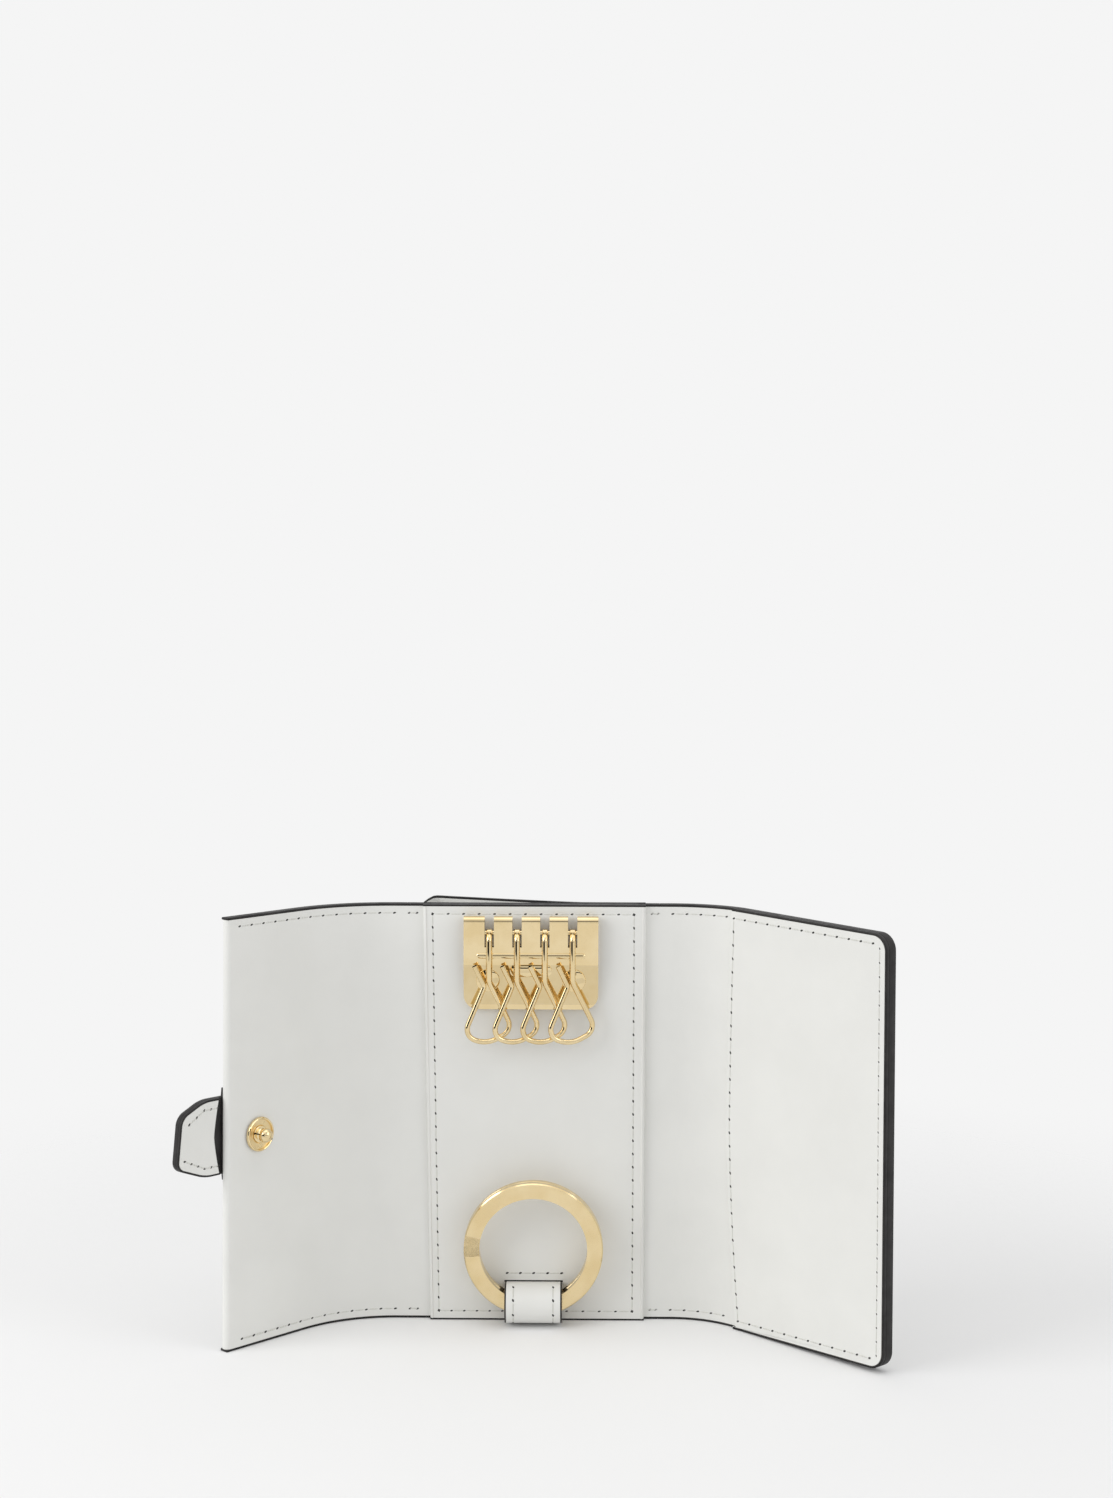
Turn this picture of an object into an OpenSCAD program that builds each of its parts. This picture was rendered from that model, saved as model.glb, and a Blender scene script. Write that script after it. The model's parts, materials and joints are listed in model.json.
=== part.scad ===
// Folding leather key case, standing open on its bottom edge.
// +X runs to the right along the centre panel, +Y away from the viewer and +Z up.
// The origin is on the floor, under the middle of the centre panel. Y = 0 is the inner face of the flaps.

/* [Cover] */
// Height of the folded cover
case_h = 105; // [100:0.5:112]
// Width of the centre panel between its two creases
centre_w = 55.2; // [53:0.2:60]
// Thickness of the outer leather
shell_t = 1.2; // [0.9:0.1:1.5]
// Thickness of the stiffening board inside the flaps
board_t = 0.5; // [0.4:0.1:0.8]
// Thickness of the leather that lines the flaps
lining_t = 0.8; // [0.6:0.1:1.2]
// How far the padded centre stands proud of the flaps
pad_rise = 1.6; // [1.4:0.1:2]
// Thickness of the leather on the padded centre
pad_leather_t = 1.2; // [0.9:0.1:1.3]
// How far the padded centre stops below the top edge
pad_drop = 0.5; // [0.4:0.1:1.5]
// Thickness of the black dressing on the cut edges
edge_t = 0.3; // [0.2:0.05:0.5]

/* [Flaps] */
// How far each flap stands turned forward
flap_angle = 46; // [35:1:60]
// Length of the right spine, from its crease to the middle of its bend
right_spine = 15.7; // [15.4:0.1:18]
// Inner radius of the right bend
right_bend_r = 22; // [16:0.5:24]
// Inner radius of the left bend
left_bend_r = 29.7; // [20:0.5:32]
// Length of the left flap, from the middle of its bend to its free edge
left_reach = 39; // [37:0.5:44]
// How much each end of the right flap tapers in at its free edge
right_taper = 1; // [0:0.1:1.6]
// Corner radius at the free edge of the right flap
corner_r = 4; // [2:0.5:6]
// Leather of the card pocket on the right flap
card_leather_t = 1; // [0.8:0.1:1.2]
// How much further from the bend the card pocket's mouth lies at its foot than at its middle
mouth_slant = 3.4; // [1:0.2:5]

/* [Back pocket] */
// How far the open mouth of the back pocket stands out
pocket_bulge = 6.6; // [6.2:0.1:8]
// Leather of the back pocket
pocket_t = 1.1; // [0.9:0.1:1.4]

/* [Key rail] */
// Width of the key rail
rail_w = 33.2; // [32:0.2:36]
// Height of the key rail
rail_h = 23.3; // [22.5:0.1:26]
// Sheet thickness of the rail
sheet_t = 0.6; // [0.4:0.05:0.7]
// Clear space between the front and rear sheets
sheet_gap = 1.6; // [1.5:0.05:1.9]
// Distance from the top edge of the cover to the crest of the rail
rail_drop = 2.6; // [2:0.1:6]
// Distance between neighbouring hooks
hook_pitch = 6.85; // [6.7:0.05:7.2]
// Width of each slot for a hook
slot_w = 2.3; // [2.2:0.1:2.8]
// Diameter of the pin that carries the hooks
pin_d = 1.1; // [0.9:0.05:1.2]
// Diameter of a rivet's domed head
rivet_head_d = 5; // [4:0.1:5.4]

/* [Hooks] */
// Diameter of the hook wire
wire_d = 1.27; // [1.1:0.01:1.35]
// Length of a hook below the carrying pin
hook_l = 27.2; // [26:0.2:29]
// Width of a hook's loop
hook_w = 11.7; // [11:0.1:12]
// How far each hook stands twisted about its stem
hook_twist = 15; // [14:0.5:18]
// Radial clearance of a hook's eye on the pin
eye_play = 0.05; // [0.02:0.01:0.08]

/* [Key ring] */
// Outer diameter of the split ring
ring_d = 34.5; // [32:0.5:37]
// Radial width of the ring's section
ring_band = 3.9; // [3.6:0.1:4.3]
// Thickness of one turn of the ring
turn_t = 1.6; // [1.3:0.05:1.7]
// How far the ring leans forward
ring_lean = 5; // [3:1:15]

/* [Ring strap] */
// Width of the leather strap that holds the ring
strap_w = 14.2; // [12:0.2:14.4]
// Thickness of the strap
strap_t = 1.1; // [0.8:0.05:1.2]
// Clearance between the turning ring and the strap
ring_play = 0.4; // [0.25:0.05:0.5]

/* [Snap and tab] */
// Diameter of the snap post's foot
post_foot_d = 8.8; // [8:0.1:9.6]
// Diameter of the snap post's head
post_head_d = 3.4; // [3:0.1:3.8]
// Height of the snap post above the lining
post_h = 2.9; // [2.6:0.05:3]
// Outer diameter of the snap socket
socket_d = 9.4; // [8.6:0.1:10.4]
// Diameter of the cap on the tab
cap_d = 11.6; // [10:0.1:12.4]
// Distance from the left flap's bend middle to the snap
snap_reach = 26.3; // [24:0.1:27.5]
// Height of the snap and the tab above the floor
closure_z = 52; // [40:1:62]
// Width of the tab at the flap's edge
tab_w = 18.6; // [15:0.2:20]
// How far the tab stands out past the flap
tab_l = 13; // [10:0.5:15]

/* [Hidden] */

leather_colour = [0.87, 0.87, 0.85];
lining_colour = [0.90, 0.90, 0.88];
edge_colour = [0.16, 0.16, 0.17];
board_colour = [0.62, 0.58, 0.50];
metal_colour = [0.88, 0.79, 0.60];
round_fn = 64;
fine_fn = 32;
wire_fn = 24;
overrun = 0.5;

// Layers of a flap, counted outwards from its inner face
left_side = -1;
right_side = 1;
board_d = lining_t;
shell_d = lining_t + board_t;
flap_t = lining_t + board_t + shell_t;
layer_z0 = edge_t;
layer_z1 = case_h - edge_t;

// Creases, bends and reaches
crease_gap = 0.3;
fold_x = centre_w / 2 + crease_gap;
seam = 0.05;
socket_proud = 0.8;
post_foot_h = 0.7;
closed_play = 0.2;
left_spine = right_spine + flap_t + socket_proud + post_foot_h + closed_play;
free_play = 0.4;
right_reach = centre_w + 2 * crease_gap - free_play;

function spine_of(side) = side == left_side ? left_spine : right_spine;
function radius_of(side) = side == left_side ? left_bend_r : right_bend_r;
function setback_of(side) = radius_of(side) * tan(flap_angle / 2);
left_flap_l = left_reach - setback_of(left_side);
right_flap_l = right_reach - setback_of(right_side);

// Padded centre
pad_y = -pad_rise;
pad_back_y = pad_y + pad_leather_t;
pad_z1 = case_h - pad_drop;

// Key rail, seen from its side
rail_x = -0.8;
rail_z1 = case_h - rail_drop;
rail_z0 = rail_z1 - rail_h;
rear_y = pad_y - sheet_t;
front_back_y = rear_y - sheet_gap;
front_y = front_back_y - sheet_t;
roll_r = (pad_y - front_y) / 2;
roll_y = pad_y - roll_r;
roll_z = rail_z1 - roll_r;
pin_y = (rear_y + front_back_y) / 2;
pin_drop = 4.15;
pin_z = rail_z1 - pin_drop;
slot_drop = 7.6;
bend_drop = 12;
rail_foot_h = 1.2;
rail_corner_r = 3.5;
bead_drop = 9.7;
bead_h = 1.2;
bead_proud = 0.4;
bead_inset = 3.4;
boss_drop = 13.5;
boss_w = 10;
boss_h = 2.8;
boss_proud = 0.45;
rivet_drop = 15.9;
rivet_spread = 10.9;
rivet_head_h = 0.9;
rivet_shank_d = 2.4;
washer_d = 5.4;
washer_t = 0.6;
hole_play = 0.05;
bend_z = rail_z1 - bend_drop;
foot_z = rail_z0 + rail_foot_h;
lower_tilt = atan(sheet_gap / (bend_z - foot_z));
rivet_z = rail_z1 - rivet_drop;
rivet_front_y = front_y + (bend_z - rivet_z) * tan(lower_tilt);
rivet_l = (shell_d - washer_t / 2 - rivet_front_y) / cos(lower_tilt);
hook_count = 4;

// Hook seen from the front: x from its stem, y up from the pin
eye_d = 1.8;
eye_side_play = 0.45;
eye_w = slot_w - 2 * eye_side_play;
hook_clear = 0.515;
stem_out = pin_y - front_y + bead_proud + wire_d / 2 + hook_clear;
neck_r = 1.5;
neck_drop = 0.35;
// Corners of the wire after the top of the stem: across by the loop's width, down by the hook's length
hook_corner_shares = [
    [0, 0.437],
    [0.525, 0.883],
    [-0.05, 1.002],
    [-0.55, 0.918],
    [-0.1, 0.468],
    [-0.312, 0.28]
];
hook_bend_shares = [0, 0.12, 0.106, 0.25, 0.106, 0.055, 0];
hook_bends = hook_l * hook_bend_shares;
wire_tuck = 0.05;
bend_swell = 0.02;
hook_points = concat(
    [[0, -neck_drop - neck_r]],
    [for (share = hook_corner_shares) [share.x * hook_w, -share.y * hook_l]]
);

// Split ring and the strap that holds it
ring_r = ring_d / 2;
bore_r = ring_r - ring_band;
ring_t = 2 * turn_t;
ring_bevel = 0.3;
half_strap = strap_w / 2;
bore_rise = bore_r - sqrt(bore_r * bore_r - half_strap * half_strap);
pivot_up = bore_rise / 2;
section_h = ring_band + bore_rise;
swing_r = sqrt(section_h * section_h + ring_t * ring_t) / 2;
strap_r = swing_r + ring_play;
strap_floor = 0.8;
pivot_y = pad_y - strap_r;
pivot_z = strap_floor + strap_t + strap_r;
ring_up = ring_r - ring_band / 2 - pivot_up;
slit_share = -0.4;
slit_z = pivot_z + strap_r + (1 + slit_share) * strap_t;
slit_off = [pad_y - pivot_y, slit_z - pivot_z];
strap_turn = atan2(slit_off.y, slit_off.x) + acos((strap_r + strap_t) / norm(slit_off));
edge_bead = 0.25;
jog_end = 167.5;
jog_start = 186.5;
turn_groove = 0.12;

// Snap and tab
snap_s = snap_reach - setback_of(left_side);
socket_reach = 2 * fold_x - snap_reach;
socket_s = socket_reach - setback_of(right_side);
post_neck_d = 2.7;
head_play = 0.25;
post_bore_d = post_head_d + 2 * head_play;
tube_wall = 0.6;
socket_tube_d = post_bore_d + 2 * tube_wall;
flange_d = 8;
shank_d = 2.6;
cap_rim = 0.5;
cap_h = 1.5;
tab_tongue_t = 1.2;
tab_base_w = 22.4;
tab_base_inset = 5;
tab_back_r = 5;
tab_gap = 0.25;
tab_edge_w = 0.35;
tab_tip_share = 0.66;
tab_shoulder_share = 0.42;
tab_tip_r = 1.8;
tab_lining_bow = 1.5;

// Plain helpers
function unit(v) = v / norm(v);
function turn_of(a, b, c) =
    let (u = b - a, v = c - b) atan2(u.x * v.y - u.y * v.x, u * v);
function cut_back(a, b, c, r) = r * tan(abs(turn_of(a, b, c)) / 2);
function arc_points(centre, r, from, to, count) =
    [for (i = [0 : count]) centre + r * [cos(from + (to - from) * i / count), sin(from + (to - from) * i / count)]];

// A box from one corner to the opposite one
module block(low, high) translate(low) cube(high - low);

// A flat outline in (along, up), given a depth from d0 to d1
module plate(d0, d1) translate([0, d1, 0]) rotate([90, 0, 0]) linear_extrude(d1 - d0) children();

module on_side(side) mirror([side == left_side ? 1 : 0, 0, 0]) children();

// The straight part of a flap: x along it from the end of its bend, y outwards
module at_flap(side)
    on_side(side)
        translate([fold_x + spine_of(side), 0, 0])
            rotate([0, 0, -flap_angle])
                translate([setback_of(side), 0, 0])
                    children();

module spine_layer(side, d0, d1, z0, z1)
    on_side(side)
        block([fold_x + crease_gap, d0, z0], [fold_x + spine_of(side) - setback_of(side), d1, z1]);

module bend_layer(side, d0, d1, z0, z1)
    on_side(side)
        translate([fold_x + spine_of(side) - setback_of(side), -radius_of(side), 0])
            rotate([0, 0, 90 - flap_angle])
                rotate_extrude(angle = flap_angle, $fn = 4 * round_fn)
                    translate([radius_of(side) + d0, z0])
                        square([d1 - d0, z1 - z0]);

// Wire work in the (along, up) plane: straight runs tuck into bends that swell a hair
module wire_run(a, b, r) {
    d = b - a;
    translate([a.x, 0, a.y])
        rotate([0, atan2(d.x, d.y), 0])
            translate([0, 0, -wire_tuck])
                cylinder(h = norm(d) + 2 * wire_tuck, r = r - bend_swell, $fn = wire_fn);
}

module wire_bend(a, b, c, bend_r, r) {
    bend = turn_of(a, b, c);
    u = unit(b - a);
    v = unit(c - b);
    back = cut_back(a, b, c, bend_r);
    side = bend > 0 ? 1 : -1;
    left_of_u = [-u.y, u.x];
    centre = b - u * back + side * bend_r * left_of_u;
    start = bend > 0 ? b - u * back - centre : b + v * back - centre;
    translate([centre.x, 0, centre.y])
        rotate([90, 0, 0])
            rotate([0, 0, atan2(start.y, start.x)])
                rotate_extrude(angle = abs(bend), $fn = 2 * round_fn)
                    translate([bend_r, 0])
                        circle(r = r, $fn = wire_fn);
}

module wire_path(points, bends, r) {
    last = len(points) - 1;
    backs = [for (i = [0 : last]) i == 0 || i == last ? 0 : cut_back(points[i - 1], points[i], points[i + 1], bends[i])];
    for (i = [0 : last - 1]) {
        d = unit(points[i + 1] - points[i]);
        union() {
            wire_run(points[i] + d * backs[i], points[i + 1] - d * backs[i + 1], r);
            if (i > 0) wire_bend(points[i - 1], points[i], points[i + 1], bends[i], r);
        }
    }
}

// Padded centre panel
module rail_frame() translate([rail_x, 0, 0]) children();

module at_rivets()
    rail_frame()
        for (x = [-rivet_spread, rivet_spread])
            translate([x, rivet_front_y, rivet_z])
                rotate([90 + lower_tilt, 0, 0])
                    children();

module rivet_holes() at_rivets() translate([0, 0, -case_h / 2]) cylinder(h = case_h / 2 + overrun, d = rivet_shank_d, $fn = round_fn);

module centre_shell() color(leather_colour)
    block([-centre_w / 2, shell_d, layer_z0], [centre_w / 2, flap_t, layer_z1]);

module centre_board() color(board_colour)
    difference() {
        block([-centre_w / 2, pad_back_y, layer_z0], [centre_w / 2, shell_d, pad_z1 - edge_t]);
        rivet_holes();
        at_washers() cylinder(h = case_h, d = washer_d, $fn = round_fn);
    }

module centre_lining() color(lining_colour)
    difference() {
        block([-centre_w / 2, pad_y, layer_z0], [centre_w / 2, pad_back_y, pad_z1 - edge_t]);
        strap_band(-half_strap, half_strap);
        block([-half_strap, pad_y - overrun, 0], [half_strap, pad_back_y, strap_floor + strap_t / 2]);
        rivet_holes();
    }

module centre_edge() color(edge_colour) {
    block([-centre_w / 2, pad_back_y, 0], [centre_w / 2, flap_t, edge_t]);
    for (side = [left_side, right_side])
        on_side(side)
            block([half_strap, pad_y, 0], [centre_w / 2, pad_back_y, edge_t]);
    block([-centre_w / 2, pad_y, pad_z1 - edge_t], [centre_w / 2, shell_d, pad_z1]);
    block([-centre_w / 2, shell_d, layer_z1], [centre_w / 2, flap_t, case_h]);
}

// Fold strips that join the centre to each spine
module crease(side) color(leather_colour)
    on_side(side)
        block([centre_w / 2, shell_d, 0], [fold_x + crease_gap - seam, flap_t, case_h]);
module left_crease() crease(left_side);
module right_crease() crease(right_side);

// Open pocket on the back: sewn at its sides and foot, its mouth bowed out near the left
pocket_columns = 28;
pocket_rows = 8;
pocket_crest_share = 0.09;
pocket_flat_share = 0.72;
pocket_fade = 1.3;
pocket_half = centre_w / 2;
function rise_share(s) = sin(90 * min(1, max(0, s)));
function bow_share(s) =
    s < pocket_crest_share ? rise_share(s / pocket_crest_share)
    : s > pocket_flat_share ? 0
    : pow(1 - (s - pocket_crest_share) / (pocket_flat_share - pocket_crest_share), 1.15);
function pocket_y(s, up) = flap_t + pocket_bulge * bow_share(s) * pow(up, pocket_fade);
function pocket_sheet(offset_y, z0, z1) =
    [for (j = [0 : pocket_rows], i = [0 : pocket_columns])
        let (s = i / pocket_columns, up = j / pocket_rows, z = z0 + (z1 - z0) * up)
        [-pocket_half + 2 * pocket_half * s, pocket_y(s, z / case_h) + offset_y, z]];
function pocket_at(i, j) = j * (pocket_columns + 1) + i;

module pocket_skin(z0, z1) {
    count = (pocket_columns + 1) * (pocket_rows + 1);
    inner = pocket_sheet(0, z0, z1);
    outer = pocket_sheet(pocket_t, z0, z1);
    front = [for (j = [0 : pocket_rows - 1], i = [0 : pocket_columns - 1], half = [0, 1])
        half == 0 ? [pocket_at(i, j), pocket_at(i, j + 1), pocket_at(i + 1, j + 1)]
        : [pocket_at(i, j), pocket_at(i + 1, j + 1), pocket_at(i + 1, j)]];
    back = [for (f = front) [f[2] + count, f[1] + count, f[0] + count]];
    foot = [for (i = [0 : pocket_columns - 1], half = [0, 1])
        half == 0 ? [pocket_at(i, 0), pocket_at(i + 1, 0), pocket_at(i + 1, 0) + count]
        : [pocket_at(i, 0), pocket_at(i + 1, 0) + count, pocket_at(i, 0) + count]];
    head = [for (i = [0 : pocket_columns - 1], half = [0, 1])
        half == 0 ? [pocket_at(i, pocket_rows), pocket_at(i + 1, pocket_rows) + count, pocket_at(i + 1, pocket_rows)]
        : [pocket_at(i, pocket_rows), pocket_at(i, pocket_rows) + count, pocket_at(i + 1, pocket_rows) + count]];
    sides = [for (j = [0 : pocket_rows - 1], half = [0, 1], end = [0, 1])
        let (
            a = pocket_at(end * pocket_columns, j),
            b = pocket_at(end * pocket_columns, j + 1),
            f = half == 0 ? [a, a + count, b + count] : [a, b + count, b]
        )
        end == 0 ? f : [f[2], f[1], f[0]]];
    polyhedron(concat(inner, outer), concat(front, back, foot, head, sides));
}

module back_pocket() color(leather_colour) pocket_skin(layer_z0, layer_z1);
module back_pocket_edge() color(edge_colour) {
    pocket_skin(layer_z1, case_h);
    block([-pocket_half, flap_t, 0], [pocket_half, flap_t + pocket_t, edge_t]);
}

// Key rail: one folded sheet with a rolled top, cut by a slot for each hook
module hook_slots()
    rail_frame()
        for (i = [0 : hook_count - 1])
            translate([(i - (hook_count - 1) / 2) * hook_pitch, 0, 0])
                block([-slot_w / 2, front_y - overrun, rail_z1 - slot_drop], [slot_w / 2, pad_y + overrun, rail_z1 + overrun]);

module rail_outline()
    translate([-rail_w / 2, rail_z0]) {
        translate([0, rail_corner_r]) square([rail_w, rail_h - rail_corner_r]);
        translate([rail_corner_r, 0]) square([rail_w - 2 * rail_corner_r, rail_h]);
        for (x = [rail_corner_r, rail_w - rail_corner_r])
            translate([x, rail_corner_r]) circle(r = rail_corner_r, $fn = round_fn);
    }

module rail_profile() {
    difference() {
        translate([roll_y, roll_z]) circle(r = roll_r, $fn = round_fn);
        translate([roll_y, roll_z]) circle(r = roll_r - sheet_t, $fn = round_fn);
        translate([roll_y - roll_r - overrun, roll_z - 2 * roll_r]) square([2 * roll_r + 2 * overrun, 2 * roll_r]);
    }
    translate([rear_y, rail_z0]) square([sheet_t, roll_z - rail_z0]);
    translate([front_y, bend_z]) square([sheet_t, roll_z - bend_z]);
    polygon([
        [front_y, bend_z],
        [front_back_y, bend_z],
        [rear_y, foot_z],
        [rear_y - sheet_t, foot_z]
    ]);
    translate([rear_y - sheet_t, rail_z0]) square([2 * sheet_t, rail_foot_h]);
}

module bead_and_boss() {
    bead_r = (bead_h * bead_h / 4 + bead_proud * bead_proud) / (2 * bead_proud);
    intersection() {
        translate([0, front_y - bead_proud + bead_r, rail_z1 - bead_drop])
            rotate([0, 90, 0])
                cylinder(h = rail_w - 2 * bead_inset, r = bead_r, center = true, $fn = round_fn);
        block([-rail_w / 2, front_y - overrun, rail_z1 - bead_drop - bead_h], [rail_w / 2, front_y + sheet_t / 2, rail_z1 - bead_drop + bead_h]);
    }
    translate([0, front_y + (boss_drop - bend_drop) * tan(lower_tilt), rail_z1 - boss_drop])
        rotate([90 + lower_tilt, 0, 0])
            translate([0, 0, -sheet_t / 2])
                linear_extrude(boss_proud + sheet_t / 2) {
                    square([boss_w - boss_h, boss_h], center = true);
                    for (x = [-1, 1])
                        translate([x * (boss_w - boss_h) / 2, 0]) circle(d = boss_h, $fn = fine_fn);
                }
}

module rail_plate() color(metal_colour)
    difference() {
        rail_frame() {
            intersection() {
                rotate([90, 0, 90]) translate([0, 0, -rail_w / 2]) linear_extrude(rail_w) rail_profile();
                plate(front_y - overrun, pad_y + overrun) rail_outline();
            }
            bead_and_boss();
        }
        hook_slots();
        rivet_holes();
    }

module rail_pin() color(metal_colour)
    rail_frame()
        translate([-rail_w / 2 + sheet_t, pin_y, pin_z])
            rotate([0, 90, 0])
                cylinder(h = rail_w - 2 * sheet_t, d = pin_d, $fn = round_fn);

module rail_rivets() color(metal_colour)
    at_rivets() {
        head_r = (rivet_head_d * rivet_head_d / 4 + rivet_head_h * rivet_head_h) / (2 * rivet_head_h);
        rotate_extrude($fn = round_fn)
            intersection() {
                translate([0, rivet_head_h - head_r]) circle(r = head_r, $fn = 4 * round_fn);
                square([rivet_head_d / 2, rivet_head_h]);
            }
        translate([0, 0, -rivet_l]) cylinder(h = rivet_l, d = rivet_shank_d - 2 * hole_play, $fn = round_fn);
    }

module at_washers() at_rivets() translate([0, 0, -rivet_l]) mirror([0, 0, 1]) translate([0, 0, -washer_t]) children();

module rivet_washers() color(metal_colour)
    intersection() {
        at_washers()
            difference() {
                cylinder(h = washer_t, d = washer_d - 2 * hole_play, $fn = round_fn);
                translate([0, 0, -overrun]) cylinder(h = washer_t + 2 * overrun, d = rivet_shank_d, $fn = round_fn);
            }
        block([-centre_w / 2, pad_back_y, 0], [centre_w / 2, shell_d, case_h]);
    }

// One hook: an eye on the pin, a short neck through the slot and a bent wire loop
module hook(index) color(metal_colour)
    translate([rail_x + (index - (hook_count - 1) / 2) * hook_pitch, pin_y, pin_z]) {
        difference() {
            union() {
                rotate([0, 90, 0]) cylinder(h = eye_w, d = eye_d, center = true, $fn = round_fn);
                translate([0, 0, -neck_drop])
                    rotate([90, 0, 0])
                        cylinder(h = stem_out - neck_r + wire_tuck, d = wire_d - 2 * bend_swell, $fn = wire_fn);
            }
            rotate([0, 90, 0]) cylinder(h = eye_w + overrun, d = pin_d + 2 * eye_play, center = true, $fn = round_fn);
        }
        translate([0, neck_r - stem_out, -neck_drop - neck_r])
            rotate([0, 0, 180])
                rotate([90, 0, 90])
                    rotate_extrude(angle = 90, $fn = 2 * round_fn)
                        translate([neck_r, 0])
                            circle(d = wire_d, $fn = wire_fn);
        translate([0, -stem_out, 0])
            rotate([0, 0, hook_twist])
                wire_path(hook_points, hook_bends, wire_d / 2);
    }
module hook_1() hook(0);
module hook_2() hook(1);
module hook_3() hook(2);
module hook_4() hook(3);

// Split ring: two flat turns, and a short run that climbs from the rear one to the front one
module ring_turns()
    rotate_extrude($fn = 4 * round_fn)
        polygon([
            [bore_r, turn_groove],
            [bore_r, turn_t],
            [ring_r - ring_bevel, turn_t],
            [ring_r, turn_t - ring_bevel],
            [ring_r, turn_groove],
            [ring_r - turn_groove, 0],
            [ring_r, -turn_groove],
            [ring_r, ring_bevel - turn_t],
            [ring_r - ring_bevel, -turn_t],
            [bore_r, -turn_t],
            [bore_r, -turn_groove],
            [bore_r + turn_groove, 0]
        ]);

// What the climbing run leaves open in front of it, in (across the run, out of the ring)
jog_mid = (jog_end + jog_start) / 2;
jog_half = (ring_r + bore_r) / 2 * sin((jog_start - jog_end) / 2);
module jog_space()
    intersection() {
        rotate([0, 0, jog_mid])
            rotate([90, 0, 90])
                linear_extrude(ring_r + overrun)
                    polygon([
                        [jog_half, turn_t],
                        [-jog_half, 0],
                        [-2 * jog_half, 0],
                        [-2 * jog_half, turn_t + overrun],
                        [2 * jog_half, turn_t + overrun],
                        [2 * jog_half, turn_t]
                    ]);
        translate([0, 0, -ring_t])
            linear_extrude(2 * ring_t)
                polygon([[0, 0], 2 * ring_r * [cos(jog_end), sin(jog_end)], 2 * ring_r * [cos(jog_start), sin(jog_start)]]);
    }

module split_ring() color(metal_colour)
    translate([0, pivot_y, pivot_z])
        rotate([ring_lean, 0, 0])
            translate([0, 0, ring_up])
                rotate([90, 0, 0])
                    difference() {
                        ring_turns();
                        jog_space();
                        rotate([0, 0, 2 * jog_mid]) rotate([180, 0, 0]) jog_space();
                    }

// Leather strap over the foot of the ring: out of a slit, round the ring and under the lining
function around(r, angle) = [pivot_y + r * cos(angle), pivot_z + r * sin(angle)];
module strap_loop(r, low) {
    top = around(r, strap_turn);
    far_y = pad_back_y + (r > strap_r ? 0 : overrun);
    translate([pivot_y, pivot_z]) circle(r = r, $fn = round_fn);
    polygon([
        [pivot_y, pivot_z],
        top,
        [far_y, top.y + (far_y - top.x) * tan(strap_turn - 90)],
        [far_y, low],
        [pivot_y, low]
    ]);
}
module strap_section()
    difference() {
        strap_loop(strap_r + strap_t, strap_floor);
        strap_loop(strap_r, strap_floor + strap_t);
    }
module strap_band(x0, x1)
    rotate([90, 0, 90])
        translate([0, 0, x0])
            linear_extrude(x1 - x0)
                strap_section();

module ring_strap() color(leather_colour) strap_band(-half_strap + edge_bead, half_strap - edge_bead);

module strap_edge() color(edge_colour) {
    strap_band(half_strap - edge_bead, half_strap);
    strap_band(-half_strap, -half_strap + edge_bead);
}

// Left spine and bend
module left_spine_shell() color(leather_colour) spine_layer(left_side, shell_d, flap_t, layer_z0, layer_z1);
module left_spine_lining() color(lining_colour) spine_layer(left_side, 0, shell_d, layer_z0, layer_z1);
module left_spine_edge() color(edge_colour) {
    spine_layer(left_side, 0, flap_t, 0, edge_t);
    spine_layer(left_side, 0, flap_t, layer_z1, case_h);
}
module left_bend_shell() color(leather_colour) bend_layer(left_side, shell_d, flap_t, layer_z0, layer_z1);
module left_bend_lining() color(lining_colour) bend_layer(left_side, 0, shell_d, layer_z0, layer_z1);
module left_bend_edge() color(edge_colour) {
    bend_layer(left_side, 0, flap_t, 0, edge_t);
    bend_layer(left_side, 0, flap_t, layer_z1, case_h);
}

// Left flap: its lining turns over the free edge
module snap_hole(d0, d1, d)
    translate([snap_s, d1, closure_z])
        rotate([90, 0, 0])
            cylinder(h = d1 - d0, d = d, $fn = round_fn);

module left_flap_shell() color(leather_colour)
    at_flap(left_side)
        difference() {
            block([seam, shell_d, layer_z0], [left_flap_l - lining_t, flap_t, layer_z1]);
            snap_hole(shell_d - overrun, flap_t + overrun, shank_d);
        }
module left_flap_board() color(board_colour)
    at_flap(left_side)
        difference() {
            block([seam, board_d, layer_z0], [left_flap_l - lining_t, shell_d, layer_z1]);
            snap_hole(0, shell_d + overrun, shank_d);
        }
module left_flap_lining() color(lining_colour)
    at_flap(left_side)
        difference() {
            union() {
                block([seam, 0, layer_z0], [left_flap_l, board_d, layer_z1]);
                block([left_flap_l - lining_t, 0, layer_z0], [left_flap_l, flap_t, layer_z1]);
            }
            snap_hole(-overrun, shell_d, shank_d);
        }
module left_flap_edge() color(edge_colour)
    at_flap(left_side) {
        block([seam, 0, 0], [left_flap_l, flap_t, edge_t]);
        block([seam, 0, layer_z1], [left_flap_l, flap_t, case_h]);
    }

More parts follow.
